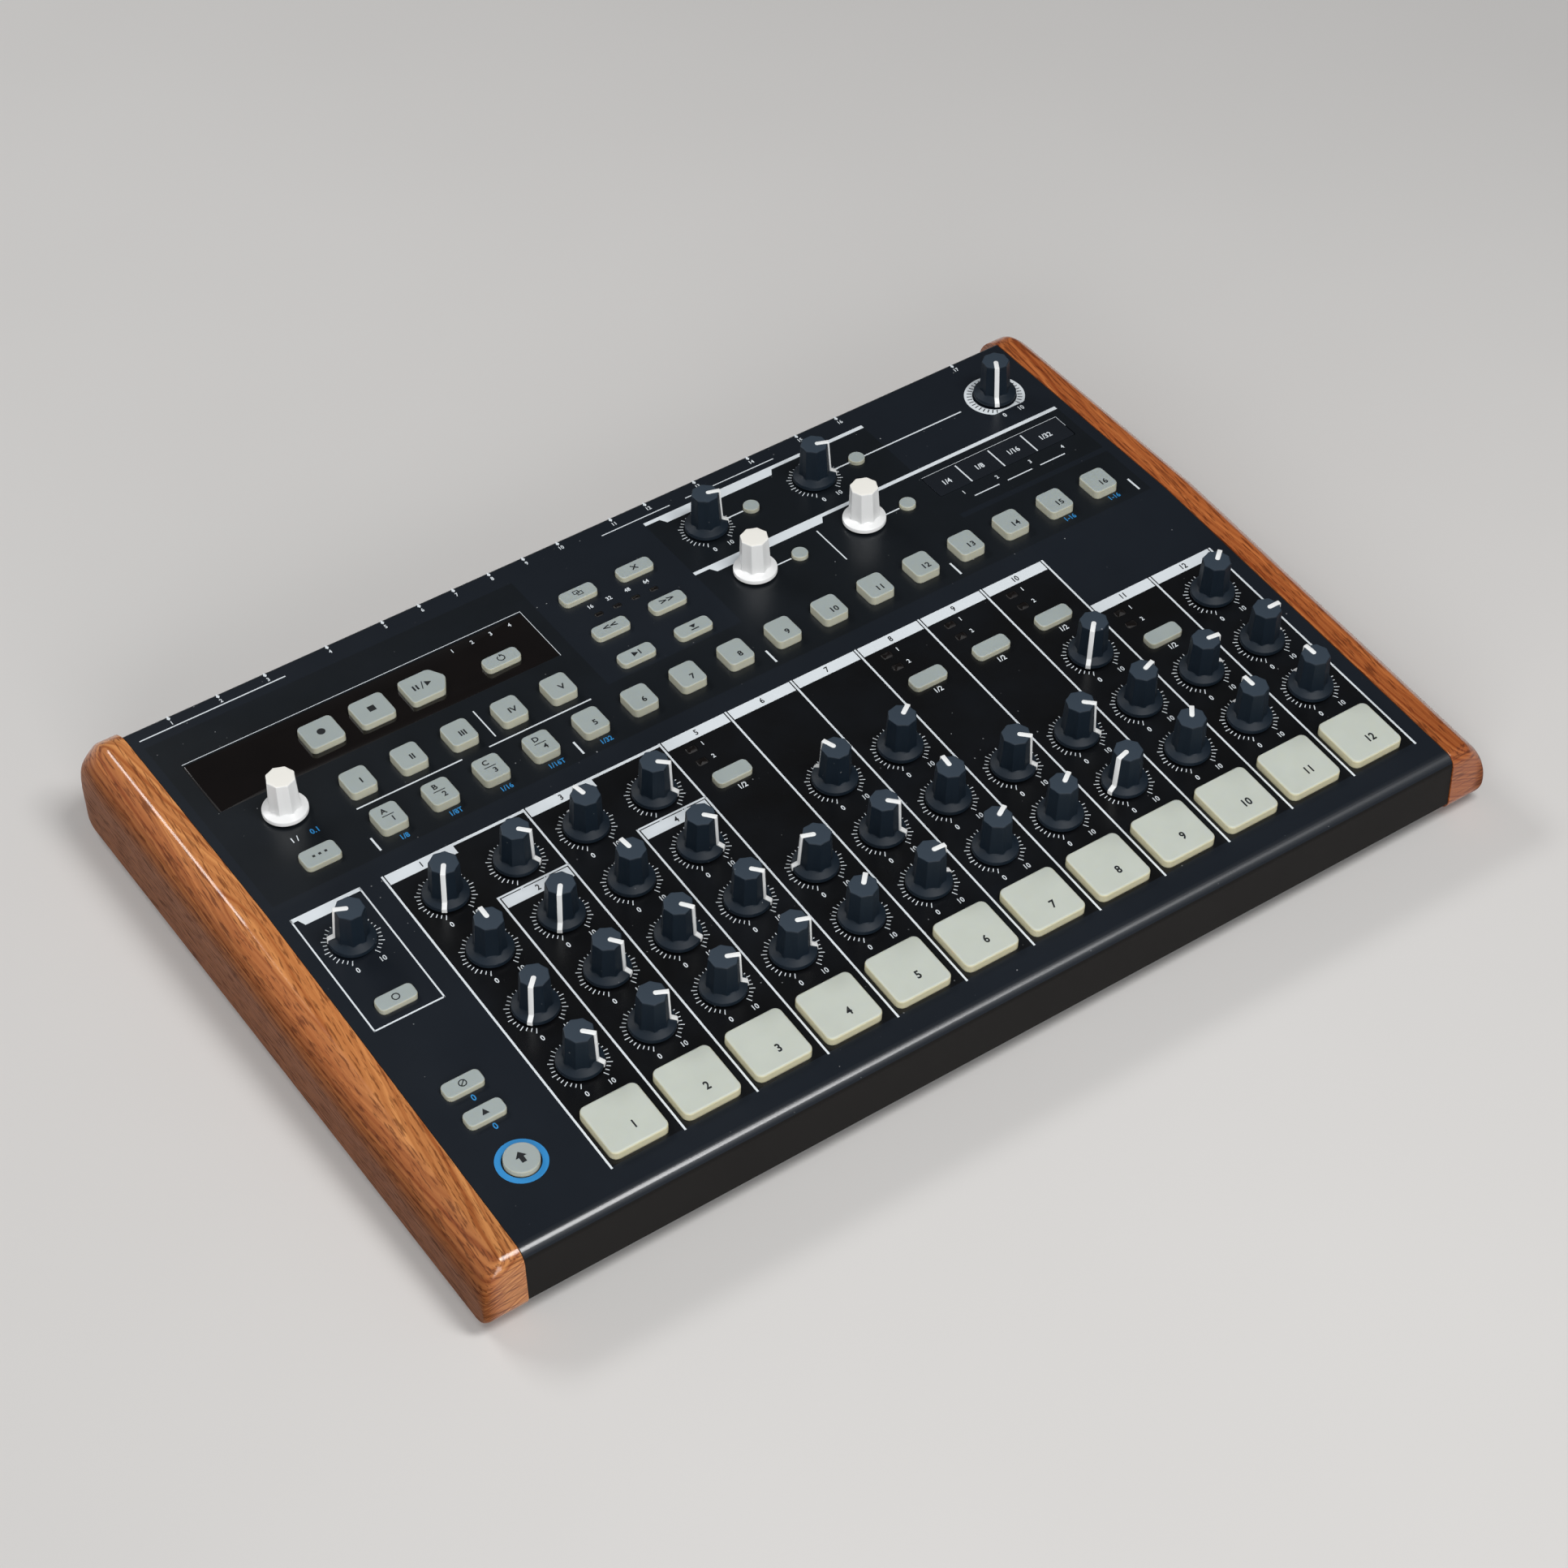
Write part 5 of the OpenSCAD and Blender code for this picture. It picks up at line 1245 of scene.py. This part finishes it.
class DRUM_OT_prints(bpy.types.Operator):
    """Prints the lines, header bars, dials and plain numbers; two thin white lines along the display window's
    top and right edges are a painted highlight.
    """

    bl_idname = "drum.prints"
    bl_label = "Prints"

    # How far behind the panel's front the column lines end: most of them, the middle lines of the
    # two double columns, and the two at the right
    TOP, STEP_TOP, SIDE_TOP = 172.0, 137.3, 138.2
    LINE_W, HEADER_D, HEADER_W = 0.9, 5.6, 31
    # Heights of the numbers in a header, at a dial and at a key's two sounds
    HEADER_TEXT, DIAL_TEXT, SOUND_TEXT = 2.9, 2.5, 2.2
    # The ticks' inner ends round a knob and on the ring round the volume knob
    DIAL_R, VOLUME_R, TICKS = 10.2, 10.5, 31
    # First columns of the two double columns, and the columns at the right
    DOUBLES, SIDE = (0, 2), (10, 11)
    # Bars by two corners, and a header's tab by its outline
    FRONT_BARS = (
        (-42, 105.2, -10, 105.9), (-42, 105.2, -41.3, 172.2), (-10.7, 105.2, -10, 172.2),
        (-42, 170.3, -10, 172.2),
    )
    FRONT_TAB = ((-39.2, 170.3), (-37.6, 166.8), (-20.6, 166.8), (-19, 170.3))
    REAR_BARS = (
        # The second and third bars of this line are painted highlight: thin white lines along the display
        # window's top and right edges, where its bevel catches the light
        (-43.8, 118.4, 25.2, 119), (-36, 95.7, 127.2, 96), (127.1, 62.2, 127.35, 96),
        (10.5, 31.4, 60.5, 32.1), (73.5, 31.4, 123.3, 32.1), (78.7, 35.6, 79.3, 54),
        (201.7, 111.6, 318.9, 113.6), (201.7, 71.6, 398, 73.6), (260.9, 42.2, 261.5, 65.3),
        (319.4, 67.3, 394, 67.5), (393.8, 60, 394, 67.5), (331.8, 44, 345.3, 44.6), (350, 44, 363.5, 44.6),
        (368, 44, 381.7, 44.6), (182.5, 117.1, 218, 117.6), (226.3, 117.1, 273.3, 117.6),
    )
    # Thin bars that run across: both ends and middle line. Bars that run to the rear: middle lines,
    # both ends and width.
    ACROSS = (
        (233, 242.4, 95.2), (290.5, 299.5, 95.2), (307.4, 361.3, 95.2), (234, 241.9, 56.6),
        (291.6, 299.5, 56.6),
    )
    TO_REAR = (((336.7, 354.8, 373), 52.9, 66, 0.7), ((7, 103.5, 199.7, 296.2, 393.7), 5.6, 14, 0.9))
    ACROSS_D = 0.7
    # Texts and their places on the rear panel: texts, places across, place behind the crease, height
    REAR_TEXTS = (
        (("1/4", "1/8", "1/16", "1/32"), (327.3, 345.3, 364, 382), 59.2, 3.0),
        (("1", "2", "3", "4"), (329.2, 347.3, 365.7, 383.7), 48.8, 2.2),
        (("16", "32", "48", "64"), (153.7, 163.15, 172.6, 182.05), 80.8, 2.2),
        (("1", "2", "3", "4"), (90.8, 100.5, 109.8, 119.2), 91, 2.2),
        (("0", "10", "0", "10"), (218.2, 226.2, 276, 284), 80.8, 2.5),
        (("1 /",), (-18.6,), 31, 2.9),
    )
    BLUE_TEXTS = (
        (("1/8", "1/8T", "1/16", "1/16T", "1/32"), [18.9 + STEP_PITCH * i for i in range(5)], 7.1, 2.7),
        (("1-16", "1-16"), (357, 381.5), 8, 2.7),
        (("0.1",), (-9.2,), 31, 2.9),
    )

    def ticks(self, bm, matrix, r, size, z, long=0.0):
        """Ticks ten degrees apart round a knob; long is what every third one is longer by."""
        for i in range(self.TICKS):
            angle = math.radians(10 * i - 150)
            reach = size[1] + (long if i % 3 == 0 else 0)
            middle = r + reach / 2
            at = (middle * math.sin(angle), middle * math.cos(angle), z)
            box(bm, matrix, (size[0], reach, size[2]), at, -angle)

    def headers(self, lay, white, black):
        """Column lines and the numbered bars at their rear ends."""
        pitch, top, half = lay.col_pitch, self.TOP, self.LINE_W / 2
        ends = {c + 1: self.STEP_TOP for c in self.DOUBLES} | {c + 1: self.SIDE_TOP for c in self.SIDE}
        for i in range(lay.columns + 1):
            flat_bar(white, lay.front(), i * pitch - half, 0, i * pitch + half, ends.get(i, top))
        for c in range(lay.columns):
            wider, rear = (0.2 if c in self.DOUBLES else 0), top - 0.2
            if c - 1 in self.DOUBLES:
                rear = self.STEP_TOP - 1.4
            elif c in self.SIDE:
                rear = self.SIDE_TOP
            u0 = c * pitch + 1
            u1 = u0 + self.HEADER_W + wider
            flat_bar(white, lay.front(), u0, rear - self.HEADER_D, u1, rear)
            middle = lay.front((u0 + u1) / 2, rear - self.HEADER_D / 2 - 0.1, INK + 0.001)
            print_text(black, middle, str(c + 1), self.HEADER_TEXT)
        for c in self.DOUBLES:
            flat_bar(white, lay.front(), c * pitch + 32.2, top - 1.6, (c + 2) * pitch - 0.4, top - 0.2)
            u0, u1 = (c + 1) * pitch - half, (c + 2) * pitch + half
            flat_bar(white, lay.front(), u0, self.STEP_TOP - 0.9, u1, self.STEP_TOP)

    def texts(self, bm, plane, rows):
        """Prints rows of texts, each row laid out as REAR_TEXTS says."""
        for texts, places, s, height in rows:
            for text, u in zip(texts, places):
                print_text(bm, plane(u, s), text, height)

    def front_prints(self, lay, white, blue):
        pitch = lay.col_pitch
        for name, plane, (u, v), angle, with_pointer in lay.knobs():
            if with_pointer and name != "master_volume_knob":
                self.ticks(white, plane(u, v), self.DIAL_R, (0.38, 1.7, 0.04), 0.02, 0.7)
                if plane == lay.front:
                    self.texts(white, plane, [(("0", "10"), (u - 5.6, u + 5.6), v - 14.2, self.DIAL_TEXT)])
        for corners in self.FRONT_BARS:
            flat_bar(white, lay.front(), *corners)
        outline_prism(white, lay.front(), self.FRONT_TAB, 0, INK)
        marks = [(c * pitch + 15.5, 162.4, 154.1, c * pitch + 16.4, 133.8) for c in PAIR_COLUMNS]
        marks += [(10 * pitch + 15, 128.2, 120, 10 * pitch + 16, 100)]
        for u, rear, ahead, half_u, half_v in marks:
            rows = [(("1",), (u,), rear, self.SOUND_TEXT), (("2",), (u,), ahead, self.SOUND_TEXT)]
            self.texts(white, lay.front, [*rows, (("1/2",), (half_u,), half_v, 2.7)])
        self.texts(blue, lay.front, [(("0",), (SIDE_X,), v, 3.0) for v in (57, 41)])
        ring_print(blue, lay.front(*SHIFT_AT), 7.9, 10.4)

    def rear_prints(self, lay, white, blue, black):
        bars = [*self.REAR_BARS]
        bars += [(u0, s - self.ACROSS_D / 2, u1, s + self.ACROSS_D / 2) for u0, u1, s in self.ACROSS]
        bars += [(u - w / 2, s0, u + w / 2, s1) for places, s0, s1, w in self.TO_REAR for u in places]
        for corners in bars:
            flat_bar(white, lay.rear(), *corners)
        for s in (111.6, 71.6):
            tab = ((209, s), (211, s - 3.3), (266.5, s - 3.3), (268.5, s))
            outline_prism(white, lay.rear(), tab, 0, INK)
        self.texts(white, lay.rear, self.REAR_TEXTS)
        self.texts(blue, lay.rear, self.BLUE_TEXTS)
        for i, u in enumerate(lay.sockets()):
            arrow = ((u - 0.8, 124), (u, 122.9), (u + 0.8, 124), (u, 126))
            outline_prism(white, lay.rear(), arrow, 0, INK)
            print_text(white, lay.rear(u, 121), str(i + 1), 2.1)
        place = lay.rear(lay.volume_x, 95.8)
        ring_print(white, place, self.DIAL_R, 13.9, steps=72, flat_y=-11.2)
        self.ticks(black, place, self.VOLUME_R, (0.5, 2.2, 0.03), 0.066)
        places = (lay.volume_x - 4.5, lay.volume_x + 4.5)
        self.texts(white, lay.rear, [(("0", "10"), places, 81.7, self.DIAL_TEXT)])

    def execute(self, context):
        lay = Layout()
        white, blue, black = bmesh.new(), bmesh.new(), bmesh.new()
        self.headers(lay, white, black)
        self.front_prints(lay, white, blue)
        self.rear_prints(lay, white, blue, black)
        for name, bm in (("white", white), ("blue", blue), ("black", black)):
            make_piece(name + "_prints", bm, (name + "_ink",), "case")
        return {"FINISHED"}


class DRUM_OT_sockets(bpy.types.Operator):
    """Dresses the rear sockets, the power rocker and the phones level knob"""

    bl_idname = "drum.sockets"
    bl_label = "Sockets"

    # Radii of a jack's nut and of a round data socket's shell, outside and inside
    JACK_R, SHELL_R, SHELL_HOLE_R = 8.0, 8.3, 6.5
    # Half the width and height of the square socket's shell, outside and inside
    SHELL, SHELL_HOLE = (5.2, 4.8), (4.2, 3.8)
    NUMBER_H, LINE_H, LINE_D = 11.5, 9.2, 0.35
    LINES = ((-35, 26), (40.5, 56), (68, 170.5), (184, 216), (224.5, 275), (283, 298), (305, 320), (366, 389))

    def part_of(self, lay, spot):
        """0 for plastic, 1 for a bare metal nut, shell or ring."""
        u, back, h = spot.x / MM - lay.line0_x, spot.y / MM - lay.rear_face_y, spot.z / MM - lay.socket_z
        if back > -0.05 and min(abs(u - x) for x in JACKS) < self.JACK_R:
            return 1
        if back > -4.9 and self.SHELL_HOLE_R < min(math.hypot(u - x, h) for x in DATA) < self.SHELL_R:
            return 1
        across = abs(u - SQUARE)
        within = across < self.SHELL[0] and abs(h) < self.SHELL[1]
        if back > -8 and within and max(across / self.SHELL_HOLE[0], abs(h) / self.SHELL_HOLE[1]) > 1:
            return 1
        return 0

    def execute(self, context):
        lay = Layout()
        bm = merged_copy("rear_sockets")
        for face in bm.faces:
            face.material_index = self.part_of(lay, face.calc_center_median())
        finishes = ("socket_plastic", "steel")
        make_piece("socket_row", bm, finishes, "case", ("rear_sockets",), 30, True)
        marks = bmesh.new()
        for i, u in enumerate(lay.sockets()):
            print_text(marks, lay.back(u, self.NUMBER_H), str(i + 1), 2.6)
        for u0, u1 in self.LINES:
            flat_bar(marks, lay.back(0, self.LINE_H), -u1, 0, -u0, self.LINE_D)
        make_piece("socket_prints", marks, ("white_ink",), "case")
        dress_copy("rocker_cap", "power_rocker", "rocker_plastic", "power_rocker")
        dress_copy("phones_knob", "phones_level_knob", "knob_plastic", "phones_level_knob")
        return {"FINISHED"}


OPERATORS = (
    DRUM_OT_stage, DRUM_OT_case, DRUM_OT_cheeks, DRUM_OT_knobs, DRUM_OT_pads, DRUM_OT_keys, DRUM_OT_windows,
    DRUM_OT_prints, DRUM_OT_sockets,
)


class DRUM_PT_panel(bpy.types.Panel):
    """Buttons that build the drum machine's pieces"""

    bl_idname = "DRUM_PT_panel"
    bl_label = "Drum Machine"
    bl_space_type = "VIEW_3D"
    bl_region_type = "UI"
    bl_category = "Drum Machine"

    def draw(self, context):
        for group in (context.scene.drum_case, context.scene.drum_controls, context.scene.drum_finishes):
            column = self.layout.column()
            for key in group.__annotations__:
                column.prop(group, key)
        for operator in OPERATORS:
            self.layout.operator(operator.bl_idname)


GROUPS = {"drum_case": CaseSizes, "drum_controls": ControlSizes, "drum_finishes": Finishes}
CLASSES = (*GROUPS.values(), *OPERATORS, DRUM_PT_panel)


def register():
    for item in CLASSES:
        bpy.utils.register_class(item)
    for name, group in GROUPS.items():
        setattr(bpy.types.Scene, name, PointerProperty(type=group))


def unregister():
    for name in GROUPS:
        delattr(bpy.types.Scene, name)
    for item in reversed(CLASSES):
        bpy.utils.unregister_class(item)


def main():
    """Builds every piece in order."""
    register()
    build_groups()
    build_materials()
    for operator in OPERATORS:
        family, action = operator.bl_idname.split(".")
        getattr(getattr(bpy.ops, family), action)()


if __name__ == "__main__":
    main()
